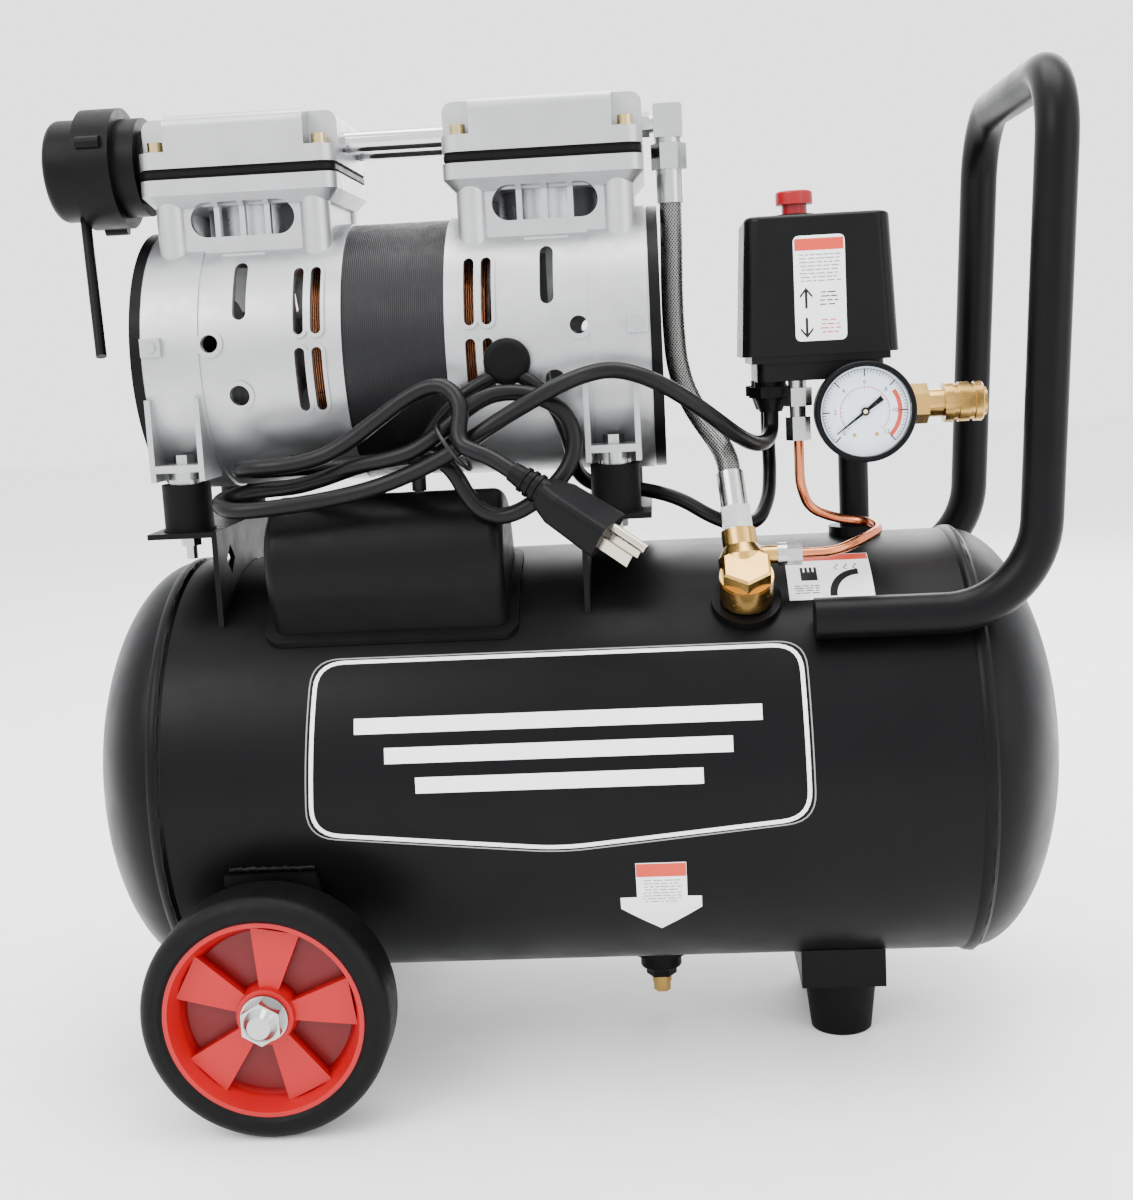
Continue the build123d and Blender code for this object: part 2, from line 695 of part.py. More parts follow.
def make_head_cover(side):
    """A cast head cover, hollow below, with side ports and four bolt wells."""
    axis_x = motor_mid_x + side * cylinder_offset
    with BuildPart() as cover:
        with BuildSketch(Plane.XY.offset(cover_z)):
            with Locations((axis_x, 0)):
                RectangleRounded(2 * head_half_x, 2 * head_half_y, 9)
        extrude(amount=head_top_z - cover_z)
        fillet(cover.faces().sort_by(Axis.Z)[-1].edges(), 6)
        for half in (-1, 1):
            low, high = sorted((half * 2.5, half * (head_half_x - 20)))
            block(
                (axis_x + low, -head_half_y + 8, cover_z - 1),
                (axis_x + high, head_half_y - 8, head_top_z - 6),
                mode=Mode.SUBTRACT,
            )
        for x in (-head_half_x + head_bolt_inset, head_half_x - head_bolt_inset):
            for y in (-head_half_y + head_bolt_inset, head_half_y - head_bolt_inset):
                rod((axis_x + x, y, cover_z - 1), (0, 0, 1), 2.6, 50, mode=Mode.SUBTRACT)
                corner_x = sorted((axis_x + x - (7 if x > 0 else 20), axis_x + x + (20 if x > 0 else 7)))
                corner_y = sorted((y - (7 if y > 0 else 20), y + (20 if y > 0 else 7)))
                block(
                    (corner_x[0], corner_y[0], cover_z + 9),
                    (corner_x[1], corner_y[1], head_top_z + 1),
                    mode=Mode.SUBTRACT,
                )
        for y in cross_ys:
            rod((axis_x, y, cross_z), (-side, 0, 0), 5.8, 60, mode=Mode.SUBTRACT)
        rod((axis_x, -20, cross_z), (side, 0, 0), 5.0, 60, mode=Mode.SUBTRACT)
    return cover


save_group([make_head_cover(-1), make_head_cover(1)], "head_covers")

with BuildPart() as head_bolts:
    for x, y in each_head_bolt():
        rod((x, y, flange_top_z - 9), (0, 0, 1), 2.5, cover_z + 9 - flange_top_z + 9)
        rod((x, y, cover_z + 9), (0, 0, 1), 5.2, 1)
        rod((x, y, cover_z + 10), (0, 0, 1), 4.2, 5)
        hex_bar((x, y, cover_z + 12), (0, 0, 1), 4, 4, mode=Mode.SUBTRACT)
save(head_bolts, "head_bolts")

with BuildPart() as crossover_pipes:
    inner_left = cylinder_xs[0] + head_half_x - 14
    inner_right = cylinder_xs[1] - head_half_x + 14
    for y in cross_ys:
        ring((inner_left, y, cross_z), (1, 0, 0), 5.75, 4.4, inner_right - inner_left)
save(crossover_pipes, "crossover_pipes")

# ---------------------------------------------------------------- intake filter
filter_y = -20.0
filter_z = 514.0
head_left_x = cylinder_xs[0] - head_half_x

with BuildPart() as intake_filter:
    # drum, clip ring and neck, built from the head cover outwards
    left = (-1, 0, 0)
    neck_start = (head_left_x, filter_y, filter_z)
    rod(neck_start, left, 20, 10)
    rod(along(neck_start, left, 3), left, 27, 12)
    rod(along(neck_start, left, 15), left, 33, 21)
    rod(along(neck_start, left, 36), left, 28, 19)
    fillet(intake_filter.faces().sort_by(Axis.X)[0].edges(), 5)
    for clip_angle in (40, 160, 280):
        clip_y = filter_y + 33 * cos(radians(clip_angle))
        clip_z = filter_z + 33 * sin(radians(clip_angle))
        rod((head_left_x - 19, clip_y, clip_z), left, 3.5, 13)
    # the hollow that holds the element, and the way into the head
    rod(along(neck_start, left, 8), left, 24, 42, mode=Mode.SUBTRACT)
    rod(neck_start, left, 5.0, 60, mode=Mode.SUBTRACT)
    # slots that let air in round the back of the drum
    for slot_angle in range(100, 261, 20):
        slot_plane = Plane(
            origin=(head_left_x - 44, filter_y, filter_z),
            x_dir=(1, 0, 0),
            z_dir=(0, -cos(radians(slot_angle)), sin(radians(slot_angle))),
        )
        with BuildSketch(slot_plane.offset(22)) as air_slot:
            SlotOverall(9, 3)
        extrude(air_slot.sketch, amount=10, mode=Mode.SUBTRACT)

with BuildPart() as filter_element:
    ring(along(neck_start, left, 9), left, 23, 9, 40)

tube_top = (-261.5, -26.0, 487.0)
tube_foot = (-249.5, -56.0, 410.0)
with BuildPart() as drain_tube:
    slope = (Vector(*tube_foot) - Vector(*tube_top)).normalized()
    rod(tube_top, tuple(slope), 3, (Vector(*tube_foot) - Vector(*tube_top)).length)
save_group([intake_filter, filter_element, drain_tube], "intake_filter")

# ---------------------------------------------------------------- discharge line
elbow_x = 68.0
elbow_y = -20.0
head_right_x = cylinder_xs[1] + head_half_x
with BuildPart() as outlet_elbow:
    rod((head_right_x - 5, elbow_y, cross_z), (1, 0, 0), 4.95, 8)
    hex_bar((head_right_x, elbow_y, cross_z), (1, 0, 0), 12, 4)
    block((elbow_x - 8, elbow_y - 8, cross_z - 8), (elbow_x + 8, elbow_y + 8, cross_z + 10))
    fillet(outlet_elbow.edges().filter_by(Axis.Y).sort_by(Axis.Z)[-2:], 2)
    rod((head_right_x, elbow_y, cross_z), (1, 0, 0), 5, 12)
    rod((elbow_x, elbow_y, cross_z - 8), (0, 0, -1), 7.4, 2.5)
    rod((elbow_x, elbow_y, cross_z), (0, 0, -1), 3, 40, mode=Mode.SUBTRACT)
    rod((head_right_x - 10, elbow_y, cross_z), (1, 0, 0), 3, 25, mode=Mode.SUBTRACT)

hose_top = (elbow_x, elbow_y, 478.0)
valve_centre = along(valve_base, valve_dir, 13)
branch_dir = tuple(Vector(-0.09, 0.38, 0.92).normalized())

with BuildPart() as hose_fittings:
    hex_bar((elbow_x, elbow_y, 496), (0, 0, 1), 17, 14)
    rod((elbow_x, elbow_y, 510), (0, 0, 1), 7.8, 0.4)
    ring((elbow_x, elbow_y, 478), (0, 0, 1), 7.4, hose_radius - 1.5, 18)
    branch_nut = along(valve_centre, branch_dir, 31)
    hex_bar(branch_nut, branch_dir, 15.5, 13)
    ring(along(branch_nut, branch_dir, 13), branch_dir, 7.4, hose_radius - 1.5, 20)
save_group([outlet_elbow, hose_fittings], "outlet_fittings")

hose_points = [
    hose_top,
    (67.5, -20.2, 453.0),
    (66.8, -21.4, 431.0),
    (66.8, -24.5, 411.0),
    (67.6, -28.3, 392.5),
    (70.8, -33.1, 377.6),
    (76.1, -38.1, 365.7),
    (81.7, -43.2, 356.4),
    (87.2, -48.3, 348.4),
    (91.2, -53.3, 341.3),
    along(valve_centre, branch_dir, 69.5),
    along(valve_centre, branch_dir, 64.05),
]
with BuildPart() as discharge_hose:
    cord_tube("discharge hose", hose_points, hose_radius)
save(discharge_hose, "discharge_hose")

with BuildPart() as check_valve:
    rod(along(valve_base, valve_dir, 4.2), valve_dir, 12, 3)
    rod(along(valve_base, valve_dir, -3), valve_dir, 7.9, 9)
    rod(along(valve_base, valve_dir, 6), valve_dir, 14.5, 14)
    rod(along(valve_centre, branch_dir, 4), branch_dir, 13, 12)
    cone(along(valve_centre, branch_dir, 16), branch_dir, 13, 9.5, 6)
    rod(along(valve_centre, branch_dir, 22), branch_dir, 9.5, 9)
    side_port = along(valve_centre, branch_dir, 17)
    rod(side_port, (1, 0, 0), 5, 24)
    # the chamber that the poppet moves in
    rod(along(valve_base, valve_dir, -5), valve_dir, 5.5, 14, mode=Mode.SUBTRACT)
    rod(along(valve_base, valve_dir, 7), valve_dir, 9.05, 20, mode=Mode.SUBTRACT)
    rod(along(valve_centre, branch_dir, 5), branch_dir, 4.5, 30, mode=Mode.SUBTRACT)
    rod(side_port, (1, 0, 0), 2.0, 30, mode=Mode.SUBTRACT)

with BuildPart() as check_valve_cap:
    rod(along(valve_base, valve_dir, 20), valve_dir, 14.4, 1.5)
    hex_bar(along(valve_base, valve_dir, 21.5), valve_dir, 25, 8.5)
    chamfer(check_valve_cap.faces().sort_by(Axis(valve_base, valve_dir))[-1].edges(), 1.2)
save_group([check_valve, check_valve_cap], "check_valve")

with BuildPart() as check_valve_poppet:
    rod(along(valve_base, valve_dir, 9.3), valve_dir, 9.0, 3)
    rod(along(valve_base, valve_dir, 12.3), valve_dir, 3.5, 3)
save(check_valve_poppet, "check_valve_poppet")

# the unloader line, from the check valve's side port up to the switch
tube_r = 2.8
unloader_x = 134.0
unloader_y = -31.0
port_end = along(side_port, (1, 0, 0), 24)
unloader_points = [
    along(side_port, (1, 0, 0), 32),
    along(side_port, (1, 0, 0), 50),
    (164.0, -66.0, 291.0),
    (176.0, -48.0, 294.0),
    (171.0, -31.0, 296.5),
    (154.0, -26.0, 298.5),
    (139.0, -27.0, 305.0),
    (unloader_x, unloader_y, 319.0),
    (unloader_x, unloader_y, 344.0),
]
with BuildPart() as unloader_tube:
    cord_tube("unloader tube", unloader_points, tube_r)
save(unloader_tube, "unloader_tube")

with BuildPart() as unloader_nuts:
    hex_bar(port_end, (1, 0, 0), 11, 8, bore=0)
    ring(along(port_end, (-1, 0, 0), 5), (1, 0, 0), 6.2, 5.05, 5)
    hex_bar((unloader_x, unloader_y, 344), (0, 0, 1), 12, 13)
    hex_bar((unloader_x, unloader_y, 363), (0, 0, 1), 14, 10)

with BuildPart() as unloader_valve:
    rod((unloader_x, unloader_y, 357), (0, 0, 1), 4.5, 6)
    rod((unloader_x, unloader_y, 373), (0, 0, 1), 5, switch_base_z - 373)
save_group([unloader_nuts, unloader_valve], "unloader_valve")

# ---------------------------------------------------------------- standpipe, switch, gauge and coupler
manifold_top = 371.0
with BuildPart() as standpipe:
    pipe_foot = tank_z + tank_radius + 1
    rod((pipe_x, 0, pipe_foot), (0, 0, 1), pipe_radius, manifold_z - 12 - pipe_foot)
    rod((pipe_x, 0, manifold_z - 13), (0, 0, 1), 13, 24.5)
    rod((pipe_x, 0, manifold_z), (0, 0, 1), 7, switch_base_z - manifold_z)
    rod((pipe_x, 0, manifold_z), (0, -1, 0), 9, 19)
    rod((pipe_x, 0, manifold_z), (1, 0, 0), 9, 19)
    rod((pipe_x, 0, manifold_z), (0, 1, 0), 9, 19)
    rod((pipe_x, 0, pipe_foot - 1), (0, 0, 1), 5.5, 80, mode=Mode.SUBTRACT)
    rod((pipe_x, 0, manifold_z), (0, -1, 0), 4.4, 30, mode=Mode.SUBTRACT)
    rod((pipe_x, 0, manifold_z), (1, 0, 0), 6.05, 30, mode=Mode.SUBTRACT)
    rod((pipe_x, 0, manifold_z), (0, 1, 0), 6.05, 30, mode=Mode.SUBTRACT)
save(standpipe, "standpipe")

with BuildPart() as switch_base:
    block(
        (switch_x - 35, switch_front_y + 4, switch_base_z),
        (switch_x + 35, switch_back_y - 4, switch_split_z),
    )
    fillet(switch_base.edges().filter_by(Axis.Z), 6)
    block(
        (switch_x - 38, switch_front_y + 1.5, switch_split_z - 4),
        (switch_x + 38, switch_back_y - 1.5, switch_split_z),
    )

switch_mid_y = (switch_front_y + switch_back_y) / 2
switch_depth = switch_back_y - switch_front_y
with BuildPart() as switch_cover:
    with BuildSketch(Plane.XY.offset(switch_split_z)) as skirt:
        with Locations((switch_x, switch_mid_y)):
            RectangleRounded(86, switch_depth + 1, 8)
    with BuildSketch(Plane.XY.offset(switch_top_z)) as crown:
        with Locations((switch_x, switch_mid_y)):
            RectangleRounded(79, switch_depth - 5, 9)
    loft([skirt.sketch.face(), crown.sketch.face()])
    fillet(switch_cover.faces().sort_by(Axis.Z)[-1].edges(), 3)
    with BuildSketch(Plane.XY.offset(switch_split_z - 1)) as inner_skirt:
        with Locations((switch_x, switch_mid_y)):
            RectangleRounded(81, switch_depth - 4, 6)
    with BuildSketch(Plane.XY.offset(switch_top_z - 3)) as inner_crown:
        with Locations((switch_x, switch_mid_y)):
            RectangleRounded(74, switch_depth - 10, 6)
    loft([inner_skirt.sketch.face(), inner_crown.sketch.face()], mode=Mode.SUBTRACT)
    rod((*button_at, switch_top_z - 8), (0, 0, 1), 11.5, 9.5)
    rod((*button_at, switch_top_z - 30), (0, 0, 1), 7.06, 60, mode=Mode.SUBTRACT)
save(switch_cover, "switch_cover")

button_travel = 5.0
with BuildPart() as switch_button:
    rod((*button_at, switch_top_z - 22), (0, 0, 1), 7.0, 30)
    rod((*button_at, switch_top_z + 7), (0, 0, 1), 10.3, 7.5)
    fillet(switch_button.faces().sort_by(Axis.Z)[-1].edges(), 1.6)
save(switch_button, "switch_button")

with BuildPart() as switch_works:
    block((switch_x - 20, -24, switch_split_z), (switch_x + 32, 20, switch_top_z - 32))
    rod((switch_x + 22, -2, switch_top_z - 32), (0, 0, 1), 11, 20)
save_group([switch_base, switch_works], "switch_base")

gland_ys = (-18.0, 14.0)
with BuildPart() as cable_glands:
    for y in gland_ys:
        rod((gland_x, y, gland_bottom_z + 7), (0, 0, 1), 9, switch_base_z - gland_bottom_z - 7)
        hex_bar((gland_x, y, gland_bottom_z + 8), (0, 0, 1), 21, 6)
        cone((gland_x, y, gland_bottom_z + 7.5), (0, 0, -1), 9, 6.5, 7.5)
save(cable_glands, "cable_glands")

forward = (0, -1, 0)
gauge_back = (pipe_x, gauge_front_y + 24, manifold_z)
with BuildPart() as gauge_case:
    rod(gauge_back, forward, gauge_radius - 1.2, 20)
    ring(along(gauge_back, forward, 17), forward, gauge_radius, gauge_radius - 3, 7)
    fillet(gauge_case.faces().sort_by(Axis.Y)[0].outer_wire().edges(), 1.5)
    rod(along(gauge_back, forward, 18), forward, gauge_radius - 3, 10, mode=Mode.SUBTRACT)

with BuildPart() as gauge_stem:
    hex_bar(gauge_back, (0, 1, 0), 14, 8)
    rod(along(gauge_back, (0, 1, 0), 8), (0, 1, 0), 7.5, 15)
save_group([gauge_case, gauge_stem], "gauge_case")

with BuildPart() as gauge_dial:
    rod(along(gauge_back, forward, 18), forward, gauge_radius - 3.1, 0.8)
    rod(along(gauge_back, forward, 18.8), forward, 0.9, 2.2)
save(gauge_dial, "gauge_dial")

needle_angle = radians(217)
needle_dir = (cos(needle_angle), 0, sin(needle_angle))
needle_at = along(gauge_back, forward, 19.3)
with BuildPart() as gauge_needle:
    rod(needle_at, forward, 2.3, 1.4)
    needle_plane = Plane(origin=needle_at, x_dir=needle_dir, z_dir=forward)
    with BuildSketch(needle_plane.offset(0.4)) as pointer:
        with BuildLine():
            Polyline(
                (19.5, -0.25), (19.5, 0.25), (-2, 0.9), (-11.5, 1.5), (-11.5, -1.5), (-2, -0.9), close=True
            )
        make_face()
    extrude(pointer.sketch, amount=0.6)
    rod(along(needle_at, forward, -1), forward, 0.96, 5, mode=Mode.SUBTRACT)
save(gauge_needle, "gauge_needle")

with BuildPart() as gauge_lens:
    rod(along(gauge_back, forward, 21.6), forward, gauge_radius - 3.1, 1.4)
save(gauge_lens, "gauge_lens")

coupler_bore = 5.6
right = (1, 0, 0)
coupler_start = (pipe_x + 13, 0, manifold_z)
coupler_end_x = 243.5
with BuildPart() as coupler_body:
    rod(coupler_start, right, 6.0, 7)
    rod(along(coupler_start, right, 6.3), right, 7, 10)
    hex_bar(along(coupler_start, right, 14), right, 20, 16)
    rod(along(coupler_start, right, 30), right, 8.0, coupler_end_x - coupler_start[0] - 30)
    rod(along(coupler_start, right, 2), right, 3.5, 80, mode=Mode.SUBTRACT)
    rod((coupler_end_x - 22, 0, manifold_z), right, coupler_bore, 40, mode=Mode.SUBTRACT)
save(coupler_body, "coupler_body")

with BuildPart() as coupler_sleeve:
    sleeve_start = (coupler_end_x - 24, 0, manifold_z)
    ring(sleeve_start, right, 11.4, 8.06, 22)
    for groove_x in (5, 14):
        ring(along(sleeve_start, right, groove_x), right, 12.5, 10.3, 3.2, mode=Mode.SUBTRACT)
    chamfer(coupler_sleeve.faces().sort_by(Axis.X)[-1].outer_wire().edges(), 0.8)
save(coupler_sleeve, "coupler_sleeve")

back = (0, 1, 0)
relief_start = (pipe_x, 13, manifold_z)
with BuildPart() as safety_valve:
    rod(relief_start, back, 6.0, 7)
    hex_bar(along(relief_start, back, 6.3), back, 17, 9)
    rod(along(relief_start, back, 15.3), back, 7.4, 18)
    rod(along(relief_start, back, 3), back, 1.6, 60, mode=Mode.SUBTRACT)
save(safety_valve, "safety_valve")

with BuildPart() as safety_pull:
    rod(along(relief_start, back, 16), back, 1.53, 21)
    with BuildSketch(Plane(origin=along(relief_start, back, 47), x_dir=(0, 0, 1), z_dir=(1, 0, 0))) as loop:
        Circle(12)
        Circle(9.8, mode=Mode.SUBTRACT)
    extrude(loop.sketch, amount=1.1, both=True)
save(safety_pull, "safety_pull")

# ---------------------------------------------------------------- electrics
cap_x = (-158.0, -29.0)
cap_y = -66.0
cap_z = 292.0
cap_radius = 36.0
with BuildPart() as capacitor_cover:
    tilt = Vector(0, -cap_y, tank_z - cap_z).normalized()
    end = Plane(origin=(cap_x[0], cap_y, cap_z), x_dir=tuple(tilt), z_dir=(1, 0, 0))
    with BuildSketch(end) as section:
        Circle(cap_radius)
        with Locations((18, 0)):
            Rectangle(36, 2 * cap_radius)
    extrude(section.sketch, amount=cap_x[1] - cap_x[0])
    fillet(capacitor_cover.edges().filter_by(GeomType.CIRCLE), 7)
    with BuildSketch(end.offset(2.5)) as cavity:
        Circle(cap_radius - 2.5)
        with Locations((20, 0)):
            Rectangle(40, 2 * cap_radius - 5)
    extrude(cavity.sketch, amount=cap_x[1] - cap_x[0] - 5, mode=Mode.SUBTRACT)
    # rim that lies on the tank round the cover's open side
    with BuildPart(mode=Mode.PRIVATE) as rim:
        with BuildSketch(end.offset(-5)) as outer_band:
            with Locations((20, 0)):
                Rectangle(60, 2 * cap_radius + 10)
        extrude(outer_band.sketch, amount=cap_x[1] - cap_x[0] + 10)
        fillet(rim.edges().filter_by(lambda e: abs((e % 0.5).dot(tilt)) > 0.99), 9)
        with BuildSketch(Plane.YZ.offset(-300)) as shell_band:
            with Locations((0, tank_z)):
                Circle(tank_radius + 3.3)
                Circle(tank_radius + gap, mode=Mode.SUBTRACT)
        extrude(shell_band.sketch, amount=600, mode=Mode.INTERSECT)
        with BuildSketch(end.offset(2.5)) as inner_hole:
            with Locations((20, 0)):
                Rectangle(80, 2 * cap_radius - 5)
        extrude(inner_hole.sketch, amount=cap_x[1] - cap_x[0] - 5, mode=Mode.SUBTRACT)
    add(rim.part)
    tank_cut()

with BuildPart() as capacitor:
    rod((cap_x[0] + 14, cap_y - 2, cap_z + 2), (1, 0, 0), 23, 92)
    for y in (-8, 8):
        rod((cap_x[0] + 106, cap_y + y, cap_z + 2), (1, 0, 0), 3, 8)
save_group([capacitor_cover, capacitor], "capacitor_cover")

grommet_at = (-23.0, -66.0, 396.0)
with BuildPart() as lead_grommet:
    rod(grommet_at, forward, 9, 9)
    rod(along(grommet_at, forward, 8.5), forward, 12.5, 8)
    fillet(lead_grommet.faces().sort_by(Axis.Y)[0].edges(), 4)

# two sleeved leads: one to the capacitor, one behind the isolator up to the switch
capacitor_lead_points = [
    (-27.0, -77.0, 390.0),
    (-40.0, -78.5, 384.0),
    (-55.0, -78.0, 374.0),
    (-67.0, -73.0, 360.0),
    (-75.5, -68.0, 346.0),
    (-76.0, -66.0, 328.8),
]
switch_lead_points = [
    (-19.0, -77.0, 390.0),
    (-8.0, -79.0, 383.0),
    (3.0, -78.0, 369.0),
    (8.0, -68.0, 350.0),
    (9.5, -50.0, 333.0),
    (20.0, -32.0, 323.0),
    (44.0, -28.0, 321.0),
    (66.0, -34.0, 315.0),
    (84.0, -42.0, 304.0),
    (99.0, -42.0, 298.0),
    (111.0, -29.0, 300.0),
    (118.0, -10.0, 311.0),
    (gland_x, 7.0, 327.0),
    (gland_x, 14.0, 343.0),
    (gland_x, 14.0, gland_bottom_z - 0.05),
]
with BuildPart() as capacitor_lead:
    cord_tube("capacitor lead", capacitor_lead_points, lead_radius)
with BuildPart() as switch_lead:
    cord_tube("switch lead", switch_lead_points, lead_radius)
save_group([lead_grommet], "lead_grommet")
save_group([capacitor_lead, switch_lead], "motor_leads")

# power cord: from the switch's front gland to a tied hank on the capacitor cover, then the plug
hank_right_x = 18.0
hank_front_y = -112.0
hank_back_y = -84.2
power_points = [
    (gland_x, -18.0, gland_bottom_z - 0.05),
    (gland_x, -18.0, 353.5),
    (119.0, -22.0, 347.5),
    (115.5, -31.0, 343.5),
    (108.0, -45.0, 343.8),
    (98.5, -61.0, 350.0),
    (89.0, -73.0, 358.0),
    (76.6, -83.0, 368.2),
    (62.0, -87.5, 378.6),
    (46.0, -89.5, 386.5),
    (32.0, -89.0, 389.5),
    (hank_right_x + 0.05, -89.0, 389.5),
]
with BuildPart() as power_cord:
    cord_tube("power cord", power_points, cord_radius)
save(power_cord, "power_cord")

hank_outline = [
    (hank_right_x, 319),
    (hank_right_x, 395),
    (-12, 385),
    (-40, 377),
    (-52, 387),
    (-72, 387),
    (-110, 371),
    (-160, 354),
    (-178, 343),
    (-178, 327),
    (-130, 326),
    (-30, 326),
    (-24, 319),
]
with BuildPart() as cord_hank:
    hank_plane = Plane(origin=(0, hank_back_y, 0), x_dir=(1, 0, 0), z_dir=(0, -1, 0))
    with BuildSketch(hank_plane):
        with BuildLine():
            Polyline(*hank_outline, close=True)
        make_face()
    extrude(amount=hank_back_y - hank_front_y)
save(cord_hank, "cord_hank")

tail_points = [
    (-62.0, -107.0, 354.0),
    (-50.0, -112.0, 356.0),
    (-39.0, -117.5, 354.0),
    (-29.0, -121.5, 348.0),
    (-19.0, -124.5, 341.0),
]
with BuildPart() as cord_tail:
    cord_tube("cord tail", tail_points, cord_radius)
save(cord_tail, "cord_tail")

plug_dir = tuple((Vector(*tail_points[-1]) - Vector(*tail_points[-2])).normalized())
plug_wide = tuple(Vector(0.49, -0.42, 0.76).cross(Vector(*plug_dir)).normalized())
plug_plane = Plane(origin=tail_points[-1], x_dir=plug_wide, z_dir=plug_dir)
relief_length = 22.0
plug_length = 38.0
with BuildPart() as power_plug:
    cone(plug_plane.origin, plug_dir, 5.2, 7.6, relief_length)
    with BuildSketch(plug_plane.offset(relief_length - 2)) as plug_heel:
        RectangleRounded(17, 14, 4)
    with BuildSketch(plug_plane.offset(relief_length + 8)) as plug_waist:
        RectangleRounded(25, 17, 4)
    with BuildSketch(plug_plane.offset(relief_length + plug_length)) as plug_face:
        RectangleRounded(27, 19, 4)
    loft([plug_heel.sketch.face(), plug_waist.sketch.face(), plug_face.sketch.face()], ruled=True)
    with BuildSketch(plug_plane.offset(relief_length + plug_length - 3)) as flat_blades:
        with Locations((-6.35, -1.5), (6.35, -1.5)):
            Rectangle(1.5, 6.4)
    extrude(flat_blades.sketch, amount=20)
    with BuildSketch(plug_plane.offset(relief_length + plug_length - 3)) as earth_pin:
        with Locations((0, 5.5)):
            Circle(2.4)
    extrude(earth_pin.sketch, amount=23)
save(power_plug, "power_plug")

# ---------------------------------------------------------------- condensate drain
down = (0, 0, -1)
drain_face = tank_z - tank_radius - 5
with BuildPart() as drain_body:
    rod((drain_x, 0, drain_face), down, 12.5, 10)
    fillet(drain_body.edges().filter_by(GeomType.CIRCLE).sort_by(Axis.Z)[0], 2)
    hex_bar((drain_x, 0, drain_face - 10), down, 16, 5)
    rod((drain_x, 0, drain_face + 7), down, 6.95, 10)
    rod((drain_x, 0, drain_face + 10), down, 3, 40, mode=Mode.SUBTRACT)
save(drain_body, "drain_body")

with BuildPart() as drain_screw:
    screw_z = drain_face - 15
    rod((drain_x, 0, screw_z + 8), down, 2.94, 9)
    ring((drain_x, 0, screw_z - 0.6), down, 6, 1.2, 4)
    hex_bar((drain_x, 0, screw_z - 4.6), down, 9, 6, bore=1.2)
    rod((drain_x, 0, screw_z + 5), down, 1.2, 30, mode=Mode.SUBTRACT)
save(drain_screw, "drain_screw")
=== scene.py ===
"""A portable air compressor: procedural materials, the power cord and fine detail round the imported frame.

CAD nodes keep the frame's metres; lengths written out here are millimetres unless a name says otherwise.
"""
import json
from math import cos, pi, radians, sin
from random import Random

import bmesh
import bpy
from mathutils import Matrix, Vector


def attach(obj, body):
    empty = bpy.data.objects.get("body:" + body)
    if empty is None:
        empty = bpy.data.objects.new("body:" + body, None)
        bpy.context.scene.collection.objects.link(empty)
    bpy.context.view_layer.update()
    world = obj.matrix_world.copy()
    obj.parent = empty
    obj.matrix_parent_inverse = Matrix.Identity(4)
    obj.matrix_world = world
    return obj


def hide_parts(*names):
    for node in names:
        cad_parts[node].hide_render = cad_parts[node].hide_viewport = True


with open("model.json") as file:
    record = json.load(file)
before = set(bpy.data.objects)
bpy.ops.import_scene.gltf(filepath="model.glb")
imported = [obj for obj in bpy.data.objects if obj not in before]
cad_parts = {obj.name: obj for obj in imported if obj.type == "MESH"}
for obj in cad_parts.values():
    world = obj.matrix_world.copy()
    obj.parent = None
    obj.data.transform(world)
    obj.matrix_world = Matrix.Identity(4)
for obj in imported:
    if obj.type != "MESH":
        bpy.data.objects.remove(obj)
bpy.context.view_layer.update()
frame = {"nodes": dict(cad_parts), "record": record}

MM = 0.001
nodes = frame["nodes"]


# ---------------------------------------------------------------- camera, floor and light
def make_camera():
    """A camera at a low three-quarter view from the front, a little to the right."""
    camera = bpy.data.objects.new("camera", bpy.data.cameras.new("camera"))
    bpy.context.scene.collection.objects.link(camera)
    right = Vector((0.99718, 0.05481, -0.05135))
    up = Vector((0.04211, 0.15812, 0.98653))
    back = right.cross(up)
    camera.matrix_world = Matrix.Translation((0.0566, -0.9398, 0.4021)) @ Matrix(
        (right, up, back)
    ).transposed().to_4x4()
    camera.data.lens = 48.23
    camera.data.sensor_width = 36
    bpy.context.scene.camera = camera


def area_light(name, place, target, size, power):
    """A soft rectangular light that points at target."""
    data = bpy.data.lights.new(name, "AREA")
    data.shape = "RECTANGLE"
    data.size, data.size_y = size
    data.energy = power
    lamp = bpy.data.objects.new(name, data)
    lamp.location = place
    lamp.rotation_euler = (Vector(target) - Vector(place)).to_track_quat("-Z", "Y").to_euler()
    bpy.context.scene.collection.objects.link(lamp)


def make_stage():
    """A pale floor, a pale sky and three soft lights."""
    bpy.ops.mesh.primitive_plane_add(size=12, location=(0, 0, -0.0005))
    floor = bpy.context.object
    floor.name = "floor"
    paint = surface("floor_paint", (0.93, 0.93, 0.93), 0.6, mottling=0.02, grain=0.004)
    floor.data.materials.append(paint)
    world = bpy.data.worlds.new("studio")
    bpy.context.scene.world = world
    world.use_nodes = True
    sky = world.node_tree.nodes["Background"]
    sky.inputs["Color"].default_value = (0.97, 0.98, 1.0, 1)
    sky.inputs["Strength"].default_value = 2.5
    middle = (0, 0, 0.3)
    area_light("key", (-1.1, -1.3, 1.7), middle, (1.2, 1.2), 34)
    area_light("fill", (1.6, -1.2, 0.9), middle, (1.4, 1.4), 16)
    area_light("top", (0.1, 0.1, 1.9), middle, (1.6, 1.0), 40)
    area_light("rear", (0.6, 1.8, 1.2), middle, (1.6, 1.2), 30)


# ---------------------------------------------------------------- materials
WAVE_PERIOD_AT_SCALE_1 = pi / 10


